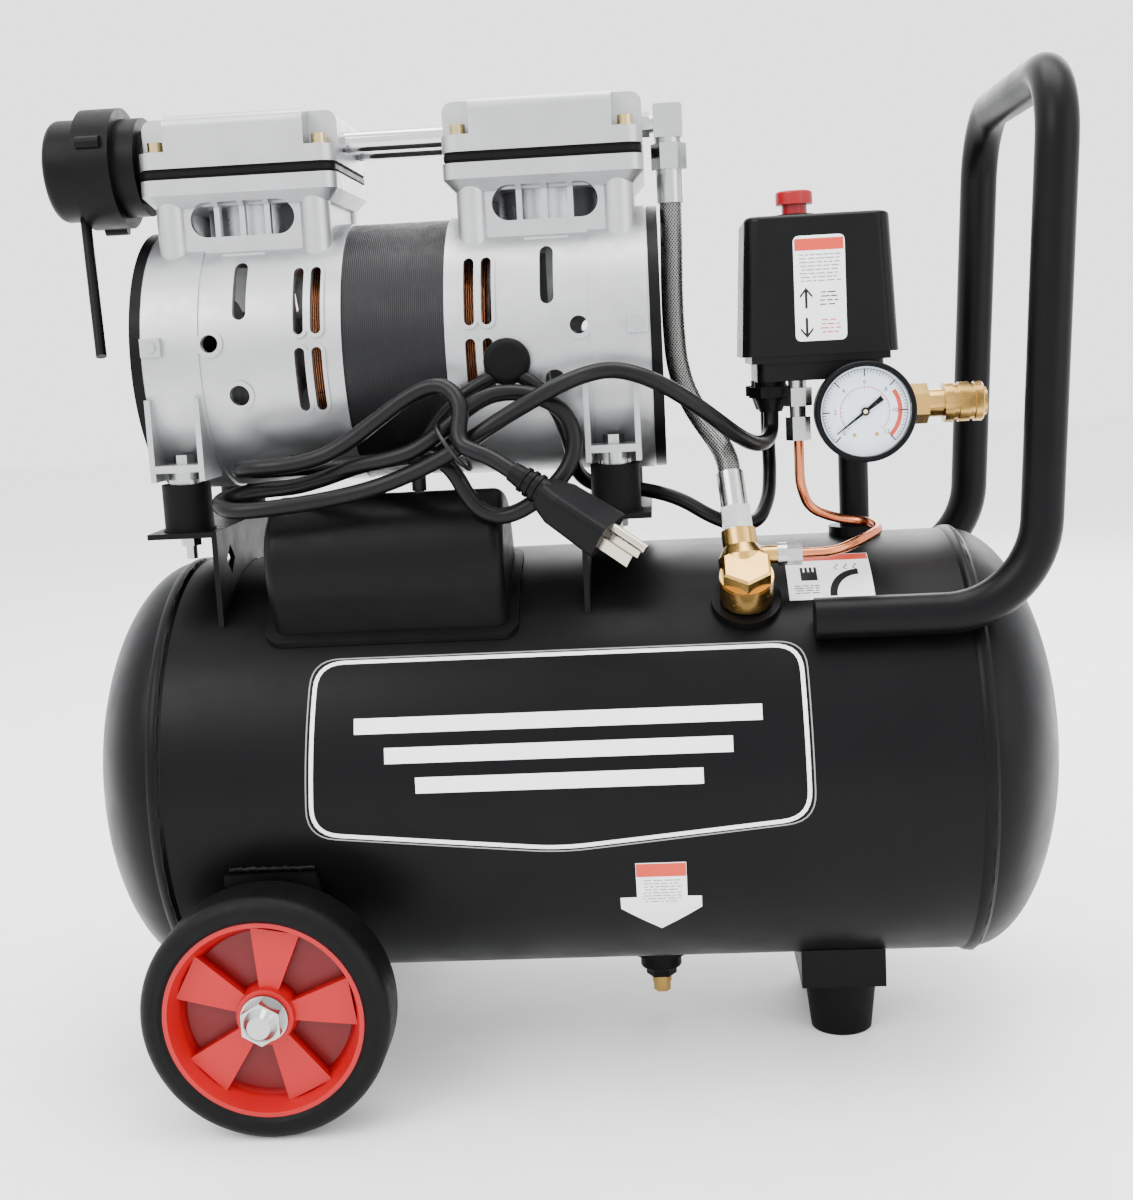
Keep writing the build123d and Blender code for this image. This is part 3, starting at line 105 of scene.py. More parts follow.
class Graph:
    """A material's node tree with short calls for the nodes that are used here."""

    def __init__(self, name):
        self.material = bpy.data.materials.new(name)
        self.material.use_nodes = True
        self.tree = self.material.node_tree
        self.shader = self.tree.nodes["Principled BSDF"]
        self.place = self.add("ShaderNodeTexCoord").outputs["Object"]

    def add(self, kind, **values):
        """A node with its inputs set by name; a value that is a socket is linked."""
        node = self.tree.nodes.new(kind)
        for key, value in values.items():
            self.put(node, key.replace("_", " "), value)
        return node

    def put(self, node, socket, value):
        """Set or link one input."""
        if isinstance(value, bpy.types.NodeSocket):
            self.tree.links.new(value, node.inputs[socket])
        else:
            node.inputs[socket].default_value = value

    def noise(self, size, detail=4.0):
        """Noise with features of about size metres."""
        node = self.add("ShaderNodeTexNoise", Vector=self.place, Scale=1 / size, Detail=detail)
        return node.outputs["Fac"]

    def waves(self, period, axis, where=None, distortion=0.0):
        """Even bands across an axis, one every period metres."""
        scale = WAVE_PERIOD_AT_SCALE_1 / period
        place = self.place if where is None else where
        node = self.add("ShaderNodeTexWave", Vector=place, Scale=scale, Distortion=distortion)
        node.bands_direction = axis
        return node.outputs["Fac"]

    def ramp(self, fac, stops):
        """A colour ramp through (position, colour) stops."""
        node = self.add("ShaderNodeValToRGB", Fac=fac)
        band = node.color_ramp
        for position, colour in stops[1:-1]:
            band.elements.new(position)
        for element, (position, colour) in zip(band.elements, stops):
            element.position = position
            element.color = (*colour, 1)
        return node.outputs["Color"]

    def spread(self, fac, low, high):
        """fac, which is around a half, mapped to low..high."""
        node = self.add("ShaderNodeMapRange", Value=fac)
        node.inputs["From Min"].default_value = 0.3
        node.inputs["From Max"].default_value = 0.7
        node.inputs["To Min"].default_value = low
        node.inputs["To Max"].default_value = high
        return node.outputs["Result"]

    def bump(self, height, depth, before=None):
        """A bump of depth metres."""
        node = self.add("ShaderNodeBump", Height=height, Distance=depth)
        if before is not None:
            self.put(node, "Normal", before)
        return node.outputs["Normal"]


def shade(colour, factor):
    """A colour made lighter or darker."""
    return tuple(min(1.0, max(0.0, c * factor)) for c in colour)


def surface(
    name, colour, roughness, metallic=0.0, mottling=0.15, mottle=0.03, spread=0.06,
    grain=0.0008, grain_height=0.00002, lines=None, shine=0.5,
):
    """A solid material: uneven colour, uneven roughness, fine grain and, if asked for, machining lines.

    mottle and grain are the sizes of the large and fine variation, and grain_height its depth, in metres;
    lines is (axis, period, depth).
    """
    graph = Graph(name)
    shader = graph.shader
    cloud = graph.noise(mottle, 5.0)
    colours = [(0.3, shade(colour, 1 - mottling)), (0.7, shade(colour, 1 + mottling))]
    graph.put(shader, "Base Color", graph.ramp(cloud, colours))
    fine = graph.noise(grain, 3.0)
    low, high = max(0.03, roughness - spread), min(1.0, roughness + spread)
    graph.put(shader, "Roughness", graph.spread(graph.noise(mottle * 0.4), low, high))
    normal = graph.bump(fine, grain_height)
    if lines:
        axis, period, depth = lines
        normal = graph.bump(graph.waves(period, axis), depth, normal)
    graph.put(shader, "Normal", normal)
    shader.inputs["Metallic"].default_value = metallic
    shader.inputs["Specular IOR Level"].default_value = shine
    return graph.material


def make_lamination():
    """Black varnished sheets on edge: fine lines across the motor's axis."""
    graph = Graph("lamination_stack")
    lines = graph.waves(0.0011, "X", distortion=0.4)
    stops = [(0.2, (0.002, 0.002, 0.0025)), (0.9, (0.008, 0.008, 0.009))]
    graph.put(graph.shader, "Base Color", graph.ramp(lines, stops))
    graph.put(graph.shader, "Roughness", graph.spread(graph.noise(0.006), 0.32, 0.5))
    graph.put(graph.shader, "Normal", graph.bump(lines, 0.00012))
    graph.shader.inputs["Specular IOR Level"].default_value = 0.2
    return graph.material


def make_braid():
    """Woven steel wire: two sets of bands crossing along the hose."""
    graph = Graph("steel_braid")
    tilted = []
    for slope in (0.9, -0.9):
        turn = graph.add("ShaderNodeMapping", Vector=graph.place)
        turn.inputs["Rotation"].default_value = (0.2, slope, 0.3)
        tilted.append(graph.waves(0.0013, "Z", turn.outputs["Vector"]))
    weave = graph.add("ShaderNodeMath")
    weave.operation = "MAXIMUM"
    graph.put(weave, 0, tilted[0])
    graph.put(weave, 1, tilted[1])
    height = weave.outputs["Value"]
    stops = [(0.45, (0.008, 0.008, 0.008)), (1.0, (0.2, 0.195, 0.185))]
    graph.put(graph.shader, "Base Color", graph.ramp(height, stops))
    graph.put(graph.shader, "Roughness", graph.spread(graph.noise(0.004), 0.22, 0.3))
    graph.put(graph.shader, "Normal", graph.bump(height, 0.0003))
    graph.shader.inputs["Metallic"].default_value = 0.9
    graph.shader.inputs["Coat Weight"].default_value = 0.4
    return graph.material


def make_windings():
    """Lacquered copper wire laid round the motor's axis."""
    graph = Graph("copper_winding")
    lines = graph.waves(0.0012, "X", distortion=2.5)
    stops = [(0.1, (0.05, 0.012, 0.006)), (0.6, (0.36, 0.1, 0.04)), (1.0, (0.62, 0.26, 0.12))]
    graph.put(graph.shader, "Base Color", graph.ramp(lines, stops))
    graph.put(graph.shader, "Roughness", graph.spread(graph.noise(0.003), 0.25, 0.4))
    graph.put(graph.shader, "Normal", graph.bump(lines, 0.0004))
    graph.shader.inputs["Metallic"].default_value = 0.8
    return graph.material


def make_glass():
    """A clear gauge window with the faintest ripple."""
    graph = Graph("clear_window")
    graph.put(graph.shader, "Roughness", graph.spread(graph.noise(0.02), 0.02, 0.05))
    graph.put(graph.shader, "Normal", graph.bump(graph.noise(0.015), 0.00002))
    stops = [(0.3, (0.97, 0.98, 1)), (0.7, (1, 1, 1))]
    graph.put(graph.shader, "Base Color", graph.ramp(graph.noise(0.03), stops))
    graph.shader.inputs["Transmission Weight"].default_value = 1.0
    graph.shader.inputs["IOR"].default_value = 1.2
    graph.shader.inputs["Alpha"].default_value = 0.25
    return graph.material


def make_hub_red():
    """Red plastic with painted shade: darker down in the wheel's recesses than on its vanes and rim."""
    graph = Graph("red_plastic_recess_painted_shade")
    split = graph.add("ShaderNodeSeparateXYZ", Vector=graph.place)
    depth = graph.add("ShaderNodeMath")
    depth.operation = "ABSOLUTE"
    graph.put(depth, 0, split.outputs["Y"])
    level = graph.add("ShaderNodeMapRange", Value=depth.outputs["Value"])
    level.inputs["From Min"].default_value = HUB_FLOOR
    level.inputs["From Max"].default_value = HUB_FLOOR + VANE_HEIGHT
    # painted shade: the red darkens towards the recess floor, standing in for the shadow down between the
    # vanes
    stops = [(0.0, shade(RED, 0.34)), (0.35, shade(RED, 0.6)), (1.0, RED)]
    graph.put(graph.shader, "Base Color", graph.ramp(level.outputs["Result"], stops))
    graph.put(graph.shader, "Roughness", graph.spread(graph.noise(0.01), 0.34, 0.44))
    graph.put(graph.shader, "Normal", graph.bump(graph.noise(0.0014, 3.0), 0.00002))
    graph.shader.inputs["Specular IOR Level"].default_value = 0.3
    return graph.material


HUB_FLOOR = 0.1475  # metres from the middle plane to the bottom of a hub's recesses, where the painted shade is darkest
VANE_HEIGHT = 0.006
BLACK = (0.0022, 0.0022, 0.0025)
WHITE = (0.86, 0.87, 0.88)
RED = (0.36, 0.001, 0.004)


def black(name, roughness, shine=0.09, **rest):
    """A black finish with a weak reflection."""
    return surface(name, BLACK, roughness, mottling=0.15, shine=shine, **rest)


def metal(name, colour, roughness, mottle=0.012, **rest):
    """A bare metal with very little variation in colour."""
    return surface(name, colour, roughness, 1.0, mottling=0.035, mottle=mottle, spread=0.035, **rest)


def printed(name, colour, **rest):
    """Smooth printed film."""
    return surface(name, colour, 0.42, mottling=0.04, mottle=0.01, grain_height=0.00001, **rest)


def make_paints():
    """Every material by name."""
    return {
        "tank_black": black("black_enamel", 0.36, mottle=0.08, grain=0.0016, grain_height=0.00003),
        "bracket_black": black("black_powder", 0.42, grain=0.0011, grain_height=0.00005),
        "cast_aluminium": surface(
            "cast_silver", (0.4, 0.405, 0.41), 0.4, 0.9,
            mottling=0.05, mottle=0.02, spread=0.06, grain=0.0007, grain_height=0.00006,
        ),
        "zinc_steel": metal("zinc_plate", (0.42, 0.43, 0.42), 0.22, grain=0.0005, grain_height=0.00001),
        "shaft_steel": metal("turned_steel", (0.5, 0.51, 0.53), 0.3, lines=("X", 0.0006, 0.00002)),
        "chrome_pipe": metal("polished_pipe", (0.55, 0.55, 0.56), 0.1, grain=0.001, grain_height=0.000004),
        "braid": make_braid(),
        "brass": metal("machined_brass", (0.5, 0.3, 0.085), 0.24, grain=0.0008, grain_height=0.00002),
        "copper": metal("drawn_copper", (0.55, 0.17, 0.075), 0.25, grain=0.0009, grain_height=0.00001),
        "winding": make_windings(),
        "lamination": make_lamination(),
        "rubber": black("moulded_rubber", 0.6, 0.08, mottle=0.01, grain=0.0007, grain_height=0.00004),
        "tyre": black("tyre_rubber", 0.5, 0.1, mottle=0.012, grain=0.0009, grain_height=0.00005),
        # red plastic with painted shade in the wheel's recesses
        "hub_red": make_hub_red(),
        "button_red": surface(
            "red_button", (0.28, 0.001, 0.005), 0.32,
            mottling=0.06, mottle=0.01, grain_height=0.00001, shine=0.3,
        ),
        "plastic_black": black("black_plastic", 0.42, mottle=0.02, grain=0.0006, grain_height=0.00004),
        "switch_black": black("switch_plastic", 0.3, 0.12, grain=0.0005, grain_height=0.00003),
        "gasket": black("gasket_sheet", 0.8, 0.1, mottle=0.003, grain=0.0005, grain_height=0.00006),
        "dial_white": printed("dial_face", (0.74, 0.84, 0.93)),
        "needle_black": black("needle_paint", 0.4, mottle=0.004, grain=0.0004, grain_height=0.00001),
        "lens": make_glass(),
        "cord_black": black("cord_jacket", 0.34, 0.16, mottle=0.01, grain=0.0008, grain_height=0.00004),
        "seal_white": surface("valve_disc", (0.6, 0.6, 0.58), 0.5, mottling=0.1, mottle=0.004),
        "print_white": printed("white_print", WHITE),
        "print_red": printed("red_print", (0.55, 0.03, 0.008)),
        "print_black": printed("black_print", (0.006, 0.006, 0.007), shine=0.2),
        "print_grey": printed("grey_print", (0.2, 0.2, 0.21)),
        "tie_clear": black("tie_nylon", 0.4, 0.3, mottle=0.004),
        "nickel": metal("nickel_blade", (0.5, 0.46, 0.37), 0.24, grain=0.0005, grain_height=0.00001),
        "gold_zinc": metal("yellow_zinc", (0.48, 0.38, 0.18), 0.26, grain=0.0005, grain_height=0.00001),
    }


def paint_nodes():
    """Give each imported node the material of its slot."""
    for part in frame["record"]["subparts"]:
        piece = nodes[part["node"]]
        paint = "gold_zinc" if part["node"] == "head_bolts" else part["material_slot"]
        for place in piece.material_slots:
            place.material = paints[paint]


# ---------------------------------------------------------------- piece helpers
def add_piece(name, mesh_or_curve, paint, body):
    """Link a new piece, paint it and let it ride on a body."""
    piece = bpy.data.objects.new(name, mesh_or_curve)
    bpy.context.scene.collection.objects.link(piece)
    mesh_or_curve.materials.append(paints[paint])
    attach(piece, body)
    return piece


def bar_curve(name, points, radius, closed=False):
    """A round bar's curve along a smooth line through points given in millimetres."""
    curve = bpy.data.curves.new(name, "CURVE")
    curve.dimensions = "3D"
    curve.bevel_depth = radius * MM
    curve.bevel_resolution = 8
    curve.resolution_u = 16
    curve.use_fill_caps = True
    spline = curve.splines.new("NURBS")
    spline.points.add(len(points) - 1)
    for point, place in zip(spline.points, points):
        point.co = (*(c * MM for c in place), 1)
    spline.order_u = 3
    if closed:
        spline.use_cyclic_u = True
    else:
        spline.use_endpoint_u = True
    return curve


def round_line(name, points, radius, paint, body, closed=False):
    """A round bar as a piece."""
    return add_piece(name, bar_curve(name, points, radius, closed), paint, body)


def solid_mesh(data):
    """The mesh of a curve or of text."""
    holder = bpy.data.objects.new("holder", data)
    bpy.context.scene.collection.objects.link(holder)
    bpy.context.view_layer.update()
    mesh = bpy.data.meshes.new_from_object(holder)
    bpy.data.objects.remove(holder)
    mesh.materials.clear()
    return mesh


def finish_mesh(name, shape, paint, body, smooth=True):
    """Turn a bmesh into a piece."""
    bmesh.ops.recalc_face_normals(shape, faces=shape.faces)
    mesh = bpy.data.meshes.new(name)
    shape.to_mesh(mesh)
    shape.free()
    if smooth:
        mesh.shade_smooth()
        mesh.set_sharp_from_angle(angle=radians(35))
    return add_piece(name, mesh, paint, body)


FILM_FOOT = 0.02  # how far a printed film's back stands off the surface
FILM_STEP = 1.5
CARD_FILM = 0.12
PRINT_FILM = 0.2


def ribbon(shape, lefts, rights, place, height, closed=False):
    """Add a thin raised strip between two rows of (u, v) points; place maps (u, v, height) to the frame."""
    rings = []
    for left, right in zip(lefts, rights):
        corners = [(*left, FILM_FOOT), (*left, height), (*right, height), (*right, FILM_FOOT)]
        rings.append([shape.verts.new(Vector(place(*corner)) * MM) for corner in corners])
    pairs = list(zip(rings, rings[1:] + rings[:1])) if closed else list(zip(rings, rings[1:]))
    for ring, after in pairs:
        for k in range(4):
            shape.faces.new((ring[k], ring[(k + 1) % 4], after[(k + 1) % 4], after[k]))
    if not closed:
        shape.faces.new(rings[0])
        shape.faces.new(list(reversed(rings[-1])))


def patch(shape, low, high, place, height):
    """Add a raised rectangle from low to high (u, v), in short steps along v."""
    steps = max(1, int(abs(high[1] - low[1]) / FILM_STEP))
    rows = [low[1] + (high[1] - low[1]) * k / steps for k in range(steps + 1)]
    ribbon(shape, [(low[0], v) for v in rows], [(high[0], v) for v in rows], place, height)


def outline(shape, path, width, place, height):
    """Add a closed line of this width round a path of (u, v) points."""
    lefts, rights = [], []
    for k, here in enumerate(path):
        before, after = Vector(path[k - 1]), Vector(path[(k + 1) % len(path)])
        along = (after - before).normalized()
        side = Vector((-along.y, along.x)) * width / 2
        lefts.append(tuple(Vector(here) + side))
        rights.append(tuple(Vector(here) - side))
    ribbon(shape, lefts, rights, place, height, closed=True)


def rounded(corners, radius, steps=7, gap=4.0):
    """A closed path round corners given in order, each rounded off by radius, with points every gap mm."""
    path = []
    count = len(corners)
    for k in range(count):
        here = Vector(corners[k])
        before, after = Vector(corners[k - 1]), Vector(corners[(k + 1) % count])
        start = here + (before - here).normalized() * radius
        end = here + (after - here).normalized() * radius
        if path:
            last = Vector(path[-1])
            pieces = int((start - last).length / gap)
            path += [tuple(last.lerp(start, n / pieces)) for n in range(1, pieces)]
        for n in range(steps + 1):
            t = n / steps
            path.append(tuple(start * (1 - t) ** 2 + here * 2 * t * (1 - t) + end * t * t))
    last, first = Vector(path[-1]), Vector(path[0])
    pieces = int((first - last).length / gap)
    path += [tuple(last.lerp(first, n / pieces)) for n in range(1, pieces)]
    return path


def disc(shape, middle, radius, thickness, segments):
    """Add a flat disc whose axis is Y."""
    place = Matrix.Translation(Vector(middle) * MM) @ Matrix.Rotation(pi / 2, 4, "X")
    bmesh.ops.create_cone(
        shape, cap_ends=True, segments=segments,
        radius1=radius * MM, radius2=radius * MM, depth=thickness * MM, matrix=place,
    )


# ---------------------------------------------------------------- labels
TANK_RADIUS = 123.0
TANK_Z = 163.5
SEAM_X = 221.0


def on_tank(u, v, height):
    """X, and the way round the tank from its top towards the front."""
    angle = v / TANK_RADIUS
    reach = TANK_RADIUS + height
    return u, -reach * sin(angle), TANK_Z + reach * cos(angle)


def way(degrees):
    """Millimetres round the tank from its top."""
    return radians(degrees) * TANK_RADIUS


def on_cover(u, v, height):
    """X and Z on the leaning front of the switch cover."""
    return u, -40.5 + (v - 391) * 3 / 76 - height, v


def on_dial(u, v, height):
    """Right and up from the middle of the gauge."""
    return 167.5 + u, -60.8 - height, 359.5 + v


def text_rows(shape, left, right, first, last, gap, place, seed):
    """Rows of short dashes that stand for small print, from v = first until last."""
    chance = Random(seed)
    half_height = 0.32
    row = first
    downward = last < first
    while row > last if downward else row < last:
        u = left + chance.uniform(0, 1.5)
        while u < right - 2:
            end = min(right, u + chance.uniform(1.5, 5.0))
            patch(shape, (u, row - half_height), (end, row + half_height), place, PRINT_FILM)
            u = end + chance.uniform(0.6, 1.2)
        row += -gap if downward else gap


def label_piece(name, shape, paint):
    """Finish a label layer."""
    return finish_mesh(name, shape, paint, "frame", smooth=False)


def make_badge():
    """A blank framed badge on the front of the tank, with three plain stripes."""
    top, side_foot, point = way(51.5), way(95), way(100.9)
    field = rounded([(-133, top), (126, top), (127, side_foot), (-5, point), (-137, side_foot)], 15)
    shape = bmesh.new()
    outline(shape, field, 2.2, on_tank, PRINT_FILM)
    label_piece("badge_line", shape, "print_white")
    middle = way(75)
    wide = [(u * 1.022 + 0.1, middle + (v - middle) * 1.045) for u, v in field]
    shape = bmesh.new()
    outline(shape, wide, 0.7, on_tank, 0.15)
    label_piece("badge_edge", shape, "print_grey")
    shape = bmesh.new()
    stripe_middle, stripe_width = -4, 8.5
    for degrees, half in ((66.5, 108), (74.0, 92), (81.5, 76)):
        low = (stripe_middle - half, way(degrees))
        high = (stripe_middle + half, way(degrees) + stripe_width)
        patch(shape, low, high, on_tank, PRINT_FILM)
    label_piece("badge_stripes", shape, "print_white")


def make_hot_card():
    """The white card on the tank's shoulder: a red band, a hot pipe sign and small print."""
    left, right = 123, 169
    shape = bmesh.new()
    patch(shape, (left, way(19)), (right, way(38)), on_tank, CARD_FILM)
    label_piece("hot_card", shape, "print_white")
    shape = bmesh.new()
    patch(shape, (left + 0.3, way(19.2)), (right - 0.3, way(22.2)), on_tank, PRINT_FILM)
    label_piece("hot_card_band", shape, "print_red")
    shape = bmesh.new()
    pipe_u, pipe_v = 162, way(37)
    turns = [pi * k / 20 for k in range(11)]
    outer = [(pipe_u - 17 * cos(t), pipe_v - 22 * sin(t)) for t in turns]
    inner = [(pipe_u - 13 * cos(t), pipe_v - 17 * sin(t)) for t in turns]
    ribbon(shape, outer, inner, on_tank, PRINT_FILM)
    half_line = 0.35
    for u in (150.5, 155.5, 160.5):
        heat = [(u + 0.9 * sin(k * 0.9), way(24.2) + k * 0.7) for k in range(9)]
        lefts = [(a - half_line, b) for a, b in heat]
        rights = [(a + half_line, b) for a, b in heat]
        ribbon(shape, lefts, rights, on_tank, PRINT_FILM)
    palm_left, palm_top = 130.5, way(27.5)
    patch(shape, (palm_left, palm_top), (palm_left + 9.0, way(31.0)), on_tank, PRINT_FILM)
    for k in range(4):
        finger = palm_left + 2.5 * k
        patch(shape, (finger, way(25.4)), (finger + 1.5, palm_top), on_tank, PRINT_FILM)
    text_rows(shape, 126, 140, way(33), way(36.5), 1.9, on_tank, seed=3)
    label_piece("hot_card_signs", shape, "print_black")


def make_drain_arrow():
    """The white arrow that points at the drain, with a red band and small print."""
    neck_left, neck_right, wing_left, wing_right = 34, 61, 25, 68.7
    shape = bmesh.new()
    rows = [(degrees, neck_left, neck_right) for degrees in (106, 109, 112, 115, 116.9)]
    rows += [(degrees, wing_left, wing_right) for degrees in (117, 119, 121)]
    rows += [(121 + 1.5 * k, wing_left + 3.57 * k, wing_right - 3.72 * k) for k in range(1, 6)]
    rows += [(130, 46.3, 46.6)]
    lefts = [(left, way(degrees)) for degrees, left, right in rows]
    rights = [(right, way(degrees)) for degrees, left, right in rows]
    ribbon(shape, lefts, rights, on_tank, CARD_FILM)
    label_piece("drain_arrow", shape, "print_white")
    shape = bmesh.new()
    patch(shape, (neck_left + 0.2, way(106.2)), (neck_right - 0.2, way(110.2)), on_tank, PRINT_FILM)
    label_piece("drain_arrow_band", shape, "print_red")
    shape = bmesh.new()
    text_rows(shape, neck_left + 3, neck_right - 3, way(111.4), way(119), 2.2, on_tank, seed=5)
    label_piece("drain_arrow_print", shape, "print_grey")


def make_switch_label():
    """The white label on the switch: a red band, small print and an arrow each way."""
    left, right, low, high = 133.3, 161.3, 398.4, 455.2
    shape = bmesh.new()
    path = rounded([(left, low), (right, low), (right, high), (left, high)], 3.5)
    lefts = []
    for v in sorted({round(point[1], 3) for point in path}):
        lefts.append((min(point[0] for point in path if abs(point[1] - v) < 0.01), v))
    rights = [(left + right - u, v) for u, v in lefts]
    ribbon(shape, lefts, rights, on_cover, CARD_FILM)
    label_piece("switch_label", shape, "print_white")
    shape = bmesh.new()
    patch(shape, (left + 0.7, 447.2), (right - 0.7, 453.6), on_cover, PRINT_FILM)
    label_piece("switch_label_band", shape, "print_red")
    shape = bmesh.new()
    text_rows(shape, 136, 159, 444.8, 430.5, 2.0, on_cover, seed=7)
    label_piece("switch_label_print", shape, "print_grey")
    shape = bmesh.new()
    arrow_u, half_shaft, half_head = 139.6, 0.7, 3.4
    for foot, tip in ((416.0, 426.5), (411.0, 400.8)):
        sign = 1 if tip > foot else -1
        shaft_low, shaft_high = sorted((foot, tip))
        corners = (arrow_u - half_shaft, shaft_low), (arrow_u + half_shaft, shaft_high)
        patch(shape, *corners, on_cover, PRINT_FILM)
        for side in (-1, 1):
            ends = [(arrow_u + side * half_head, tip - sign * 4.2), (arrow_u, tip)]
            uppers, lowers = [(u, v + 0.8) for u, v in ends], [(u, v - 0.8) for u, v in ends]
            ribbon(shape, uppers, lowers, on_cover, PRINT_FILM + 0.02)
    text_rows(shape, 147, 158, 424.5, 417, 2.2, on_cover, seed=9)
    label_piece("switch_label_arrows", shape, "print_black")
    shape = bmesh.new()
    text_rows(shape, 147, 158, 409.5, 402, 2.2, on_cover, seed=11)
    label_piece("switch_label_red_print", shape, "print_red")


DIAL_START = 225
DIAL_SWEEP = 270
DIAL_FILM = 0.12
DIAL_TOP_NUMBER = 12


def dial_point(angle, reach):
    """A place on the dial; 0 degrees is the start of the scale, at the lower left."""
    turn = radians(DIAL_START - angle)
    return reach * cos(turn), reach * sin(turn)


def dial_arc(shape, start, end, outer, inner):
    """A curved band on the dial."""
    steps = max(2, int(abs(end - start) / 4))
    angles = [start + (end - start) * k / steps for k in range(steps + 1)]
    outers, inners = [[dial_point(a, reach) for a in angles] for reach in (outer, inner)]
    ribbon(shape, outers, inners, on_dial, DIAL_FILM)


def dial_tick(shape, angle, outer, inner, width):
    """A straight mark that points at the middle."""
    spread = degrees_of(width / 2, (outer + inner) / 2)
    left = [dial_point(angle - spread, outer), dial_point(angle - spread, inner)]
    right = [dial_point(angle + spread, outer), dial_point(angle + spread, inner)]
    ribbon(shape, left, right, on_dial, DIAL_FILM)


def degrees_of(length, reach):
    """The angle that a short length covers at this reach."""
    return length / reach * 180 / pi


def dial_number(text, angle, reach, size, paint):
    """An upright number on the dial."""
    curve = bpy.data.curves.new("number_" + text, "FONT")
    curve.body = text
    curve.size = size * MM
    curve.align_x = "CENTER"
    curve.align_y = "CENTER"
    curve.extrude = 0.00004
    mesh = solid_mesh(curve)
    u, v = dial_point(angle, reach)
    mesh.transform(Matrix.Rotation(pi / 2, 4, "X"))
    mesh.transform(Matrix.Translation(Vector(on_dial(u, v, 0.07)) * MM))
    return add_piece("number_" + text, mesh, paint, "frame")


def make_dial():
    """Scales, numbers and screws on the gauge's face."""
    shape = bmesh.new()
    scale_steps, rim = 60, 22.6
    for step in range(scale_steps + 1):
        long = step % 10 == 0
        foot = 18.8 if long else 20.9 if step % 5 else 20.0
        dial_tick(shape, DIAL_SWEEP / scale_steps * step, rim, foot, 0.7 if long else 0.3)
    dial_arc(shape, 0, DIAL_SWEEP, rim + 0.3, rim)
    finish_mesh("dial_scale", shape, "print_black", "frame", smooth=False)
    shape = bmesh.new()
    dial_arc(shape, 190, DIAL_SWEEP, 19.9, 17.6)
    finish_mesh("dial_red_band", shape, "print_red", "frame", smooth=False)
    shape = bmesh.new()
    inner_steps, ring = 30, 13.1
    dial_arc(shape, 0, DIAL_SWEEP, ring + 0.3, ring)
    for step in range(inner_steps + 1):
        foot = 12.2 if step % 5 else 11.3
        dial_tick(shape, DIAL_SWEEP / inner_steps * step, ring, foot, 0.3)
    finish_mesh("dial_inner_scale", shape, "print_red", "frame", smooth=False)
    for number in range(0, DIAL_TOP_NUMBER + 1, 2):
        dial_number(str(number), DIAL_SWEEP * number / DIAL_TOP_NUMBER, 16.0, 3.4, "print_black")
    shape = bmesh.new()
    for u in (-6.0, 6.0):
        disc(shape, on_dial(u, -12.5, 0.15), 1.1, 0.3, 20)
    finish_mesh("dial_screws", shape, "brass", "frame")
    shape = bmesh.new()
    disc(shape, on_dial(0, 0, 1.75), 1.3, 0.5, 24)
    finish_mesh("needle_hub", shape, "brass", "gauge_needle")


# ---------------------------------------------------------------- welds and screws
def rough_bead(name, places, size, seed, closed=False):
    """A hand-laid weld: a bead whose thickness and line wander."""
    chance = Random(seed)
    shaken = [tuple(c + chance.uniform(-0.35, 0.35) for c in place) for place in places]
    curve = bar_curve(name, shaken, size, closed)
    curve.bevel_resolution = 3
    curve.resolution_u = 4
    for point in curve.splines[0].points:
        point.radius = chance.uniform(0.6, 1.25)
    mesh = solid_mesh(curve)
    mesh.shade_smooth()
    return add_piece(name, mesh, "tank_black", "frame")


def make_welds():
    """Beads over the wheel brackets and round both ends of the tank's shell."""
    for side, name in ((1, "near"), (-1, "far")):
        near = [on_tank(-184 + 1.6 * k, way(104), 0.5) for k in range(30)]
        places = [(x, y * side, z) for x, y, z in near]
        rough_bead("bracket_weld_" + name, places, 1.7, 21 + side)
    for side, name in ((-1, "left"), (1, "right")):
        places = [on_tank(side * SEAM_X + 1.8, way(2 * k), 0.6) for k in range(180)]
        rough_bead("seam_weld_" + name, places, 1.1, 31 + side, closed=True)


def make_lug_screws():
    """Pan-head screws on the fan guards' four lugs."""
    shape = bmesh.new()
    for x in (-215.5, 47.5):
        for side in (-1, 1):
            disc(shape, (x, side * 77.6, 413), 3.2, 1.6, 24)
    finish_mesh("lug_screws", shape, "zinc_steel", "frame")


# ---------------------------------------------------------------- power cord
power_route = [
    (120.0, -18.0, 359.95),
    (120.0, -18.0, 353.5),
    (119.0, -22.0, 347.5),
    (115.5, -31.0, 343.5),
    (108.0, -45.0, 343.8),
    (98.5, -61.0, 350.0),
    (89.0, -73.0, 358.0),
    (76.6, -83.0, 368.2),
    (62.0, -87.5, 378.6),
    (46.0, -89.5, 386.5),
    (32.0, -89.0, 389.5),
]
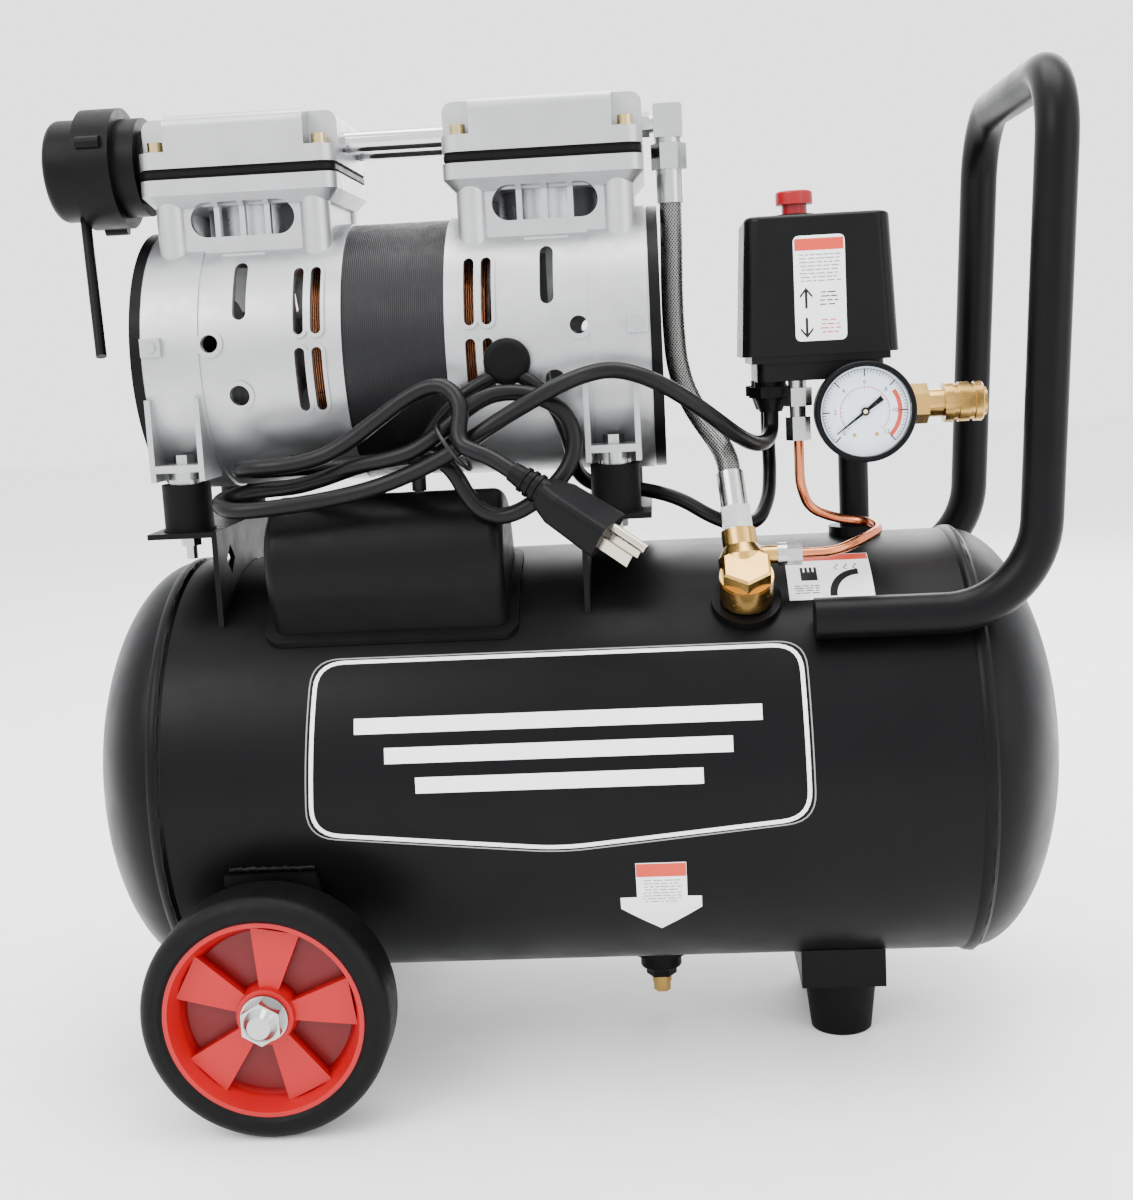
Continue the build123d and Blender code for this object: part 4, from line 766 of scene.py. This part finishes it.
# inwards to the tie, round the low left fold, round the wide right loop, behind to the
# upper left fold, over the small top loop and forward past the tie
hank_route = [
    (19.0, -92.0, 387.5),
    (6.0, -98.5, 383.0),
    (-9.0, -103.5, 375.5),
    (-24.0, -105.0, 367.5),
    (-39.0, -104.5, 358.5),
    (-50.0, -105.0, 352.0),
    (-60.0, -104.0, 346.8),
    (-72.0, -102.5, 341.5),
    (-90.0, -100.5, 335.0),
    (-112.0, -100.5, 330.0),
    (-136.0, -103.5, 327.0),
    (-156.0, -105.5, 325.5),
    (-170.5, -103.5, 325.0),
    (-180.0, -95.0, 327.0),
    (-182.0, -84.0, 329.5),
    (-174.0, -75.0, 332.0),
    (-159.0, -73.0, 333.5),
    (-141.0, -77.5, 334.5),
    (-122.0, -86.0, 339.5),
    (-104.0, -94.0, 345.5),
    (-88.0, -99.0, 348.2),
    (-74.0, -101.0, 351.5),
    (-64.0, -100.0, 357.0),
    (-55.0, -97.5, 363.5),
    (-45.0, -95.0, 372.0),
    (-33.0, -92.0, 379.0),
    (-20.0, -91.0, 380.5),
    (-7.0, -90.5, 377.5),
    (4.0, -91.5, 371.5),
    (10.5, -94.0, 363.0),
    (12.5, -96.0, 352.5),
    (9.5, -97.5, 341.5),
    (2.0, -98.5, 332.0),
    (-8.0, -98.5, 324.0),
    (-19.0, -98.0, 317.5),
    (-30.0, -97.3, 315.0),
    (-40.0, -96.5, 319.0),
    (-47.0, -95.5, 328.5),
    (-52.0, -94.5, 339.0),
    (-60.0, -92.0, 347.0),
    (-74.0, -86.0, 349.0),
    (-92.0, -77.0, 346.5),
    (-110.0, -70.0, 345.0),
    (-130.0, -65.0, 344.0),
    (-148.0, -62.5, 343.5),
    (-163.0, -65.0, 343.5),
    (-171.5, -73.5, 344.5),
    (-170.5, -84.0, 345.5),
    (-161.0, -91.5, 346.5),
    (-147.0, -94.0, 347.0),
    (-133.0, -93.5, 348.5),
    (-120.0, -93.0, 352.0),
    (-106.0, -93.5, 359.5),
    (-92.0, -95.0, 369.0),
    (-79.0, -96.0, 378.0),
    (-67.0, -97.0, 384.5),
    (-55.5, -99.5, 386.0),
    (-47.5, -103.5, 379.5),
    (-45.5, -108.5, 370.5),
    (-47.0, -113.5, 362.0),
    (-45.5, -117.5, 355.0),
]
tail_route = [
    (-39.0, -119.5, 352.0),
    (-29.0, -121.5, 348.0),
    (-19.0, -124.5, 341.0),
]
CORD_DIAMETER = 8.8


def make_plug_detail():
    """Nickel skins over the plug's blades and moulded ribs on its strain relief."""
    tip = Vector(tail_route[-1])
    out = (tip - Vector(tail_route[-2])).normalized()
    wide = Vector((0.49, -0.42, 0.76)).cross(out).normalized()
    tall = out.cross(wide)
    turn = Matrix((wide, tall, out)).transposed().to_4x4()

    def at(u, v, w):
        return Matrix.Translation((tip + wide * u + tall * v + out * w) * MM) @ turn

    def round_bar(shape, radius, length, middle, segments):
        bmesh.ops.create_cone(
            shape, cap_ends=True, segments=segments,
            radius1=radius, radius2=radius, depth=length, matrix=at(*middle),
        )

    shape = bmesh.new()
    blade_size = (0.0018, 0.0067, 0.0172, 1)
    for u in (-6.35, 6.35):
        bmesh.ops.create_cube(shape, size=1, matrix=at(u, -1.5, 68.7) @ Matrix.Diagonal(blade_size))
    round_bar(shape, 0.00255, 0.0202, (0, 5.5, 70.2), 24)
    blades = finish_mesh("plug_blades", shape, "nickel", "frame")
    shape = bmesh.new()
    for w in (8.0, 12.0, 16.0):
        relief_radius = 0.0052 + 0.0024 * w / 22
        round_bar(shape, relief_radius + 0.0009, 0.0018, (0, 0, w), 32)
    ribs = finish_mesh("plug_ribs", shape, "plastic_black", "frame")
    return blades, ribs


def make_power_cord():
    """The mains cord in one length, tied in a loose hank, with its tie and plug."""
    route = power_route + hank_route + tail_route
    cord = round_line("power_cord_run", route, CORD_DIAMETER / 2, "cord_black", "frame")
    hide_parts("power_cord", "cord_hank", "cord_tail")
    middle = Vector((-51.0, -104.0, 353.5))
    across = Vector((0, 1, 0))
    upward = Vector((-0.57, 0, 0.82))
    loop = []
    for step in range(20):
        angle = 2 * pi * step / 20
        loop.append(tuple(middle + across * 17.5 * cos(angle) + upward * 14.5 * sin(angle)))
    tie = round_line("cord_tie", loop, 1.1, "tie_clear", "frame", closed=True)
    blades, ribs = make_plug_detail()


make_camera()
paints = make_paints()
make_stage()
paint_nodes()
make_power_cord()
make_badge()
make_hot_card()
make_drain_arrow()
make_switch_label()
make_dial()
make_welds()
make_lug_screws()
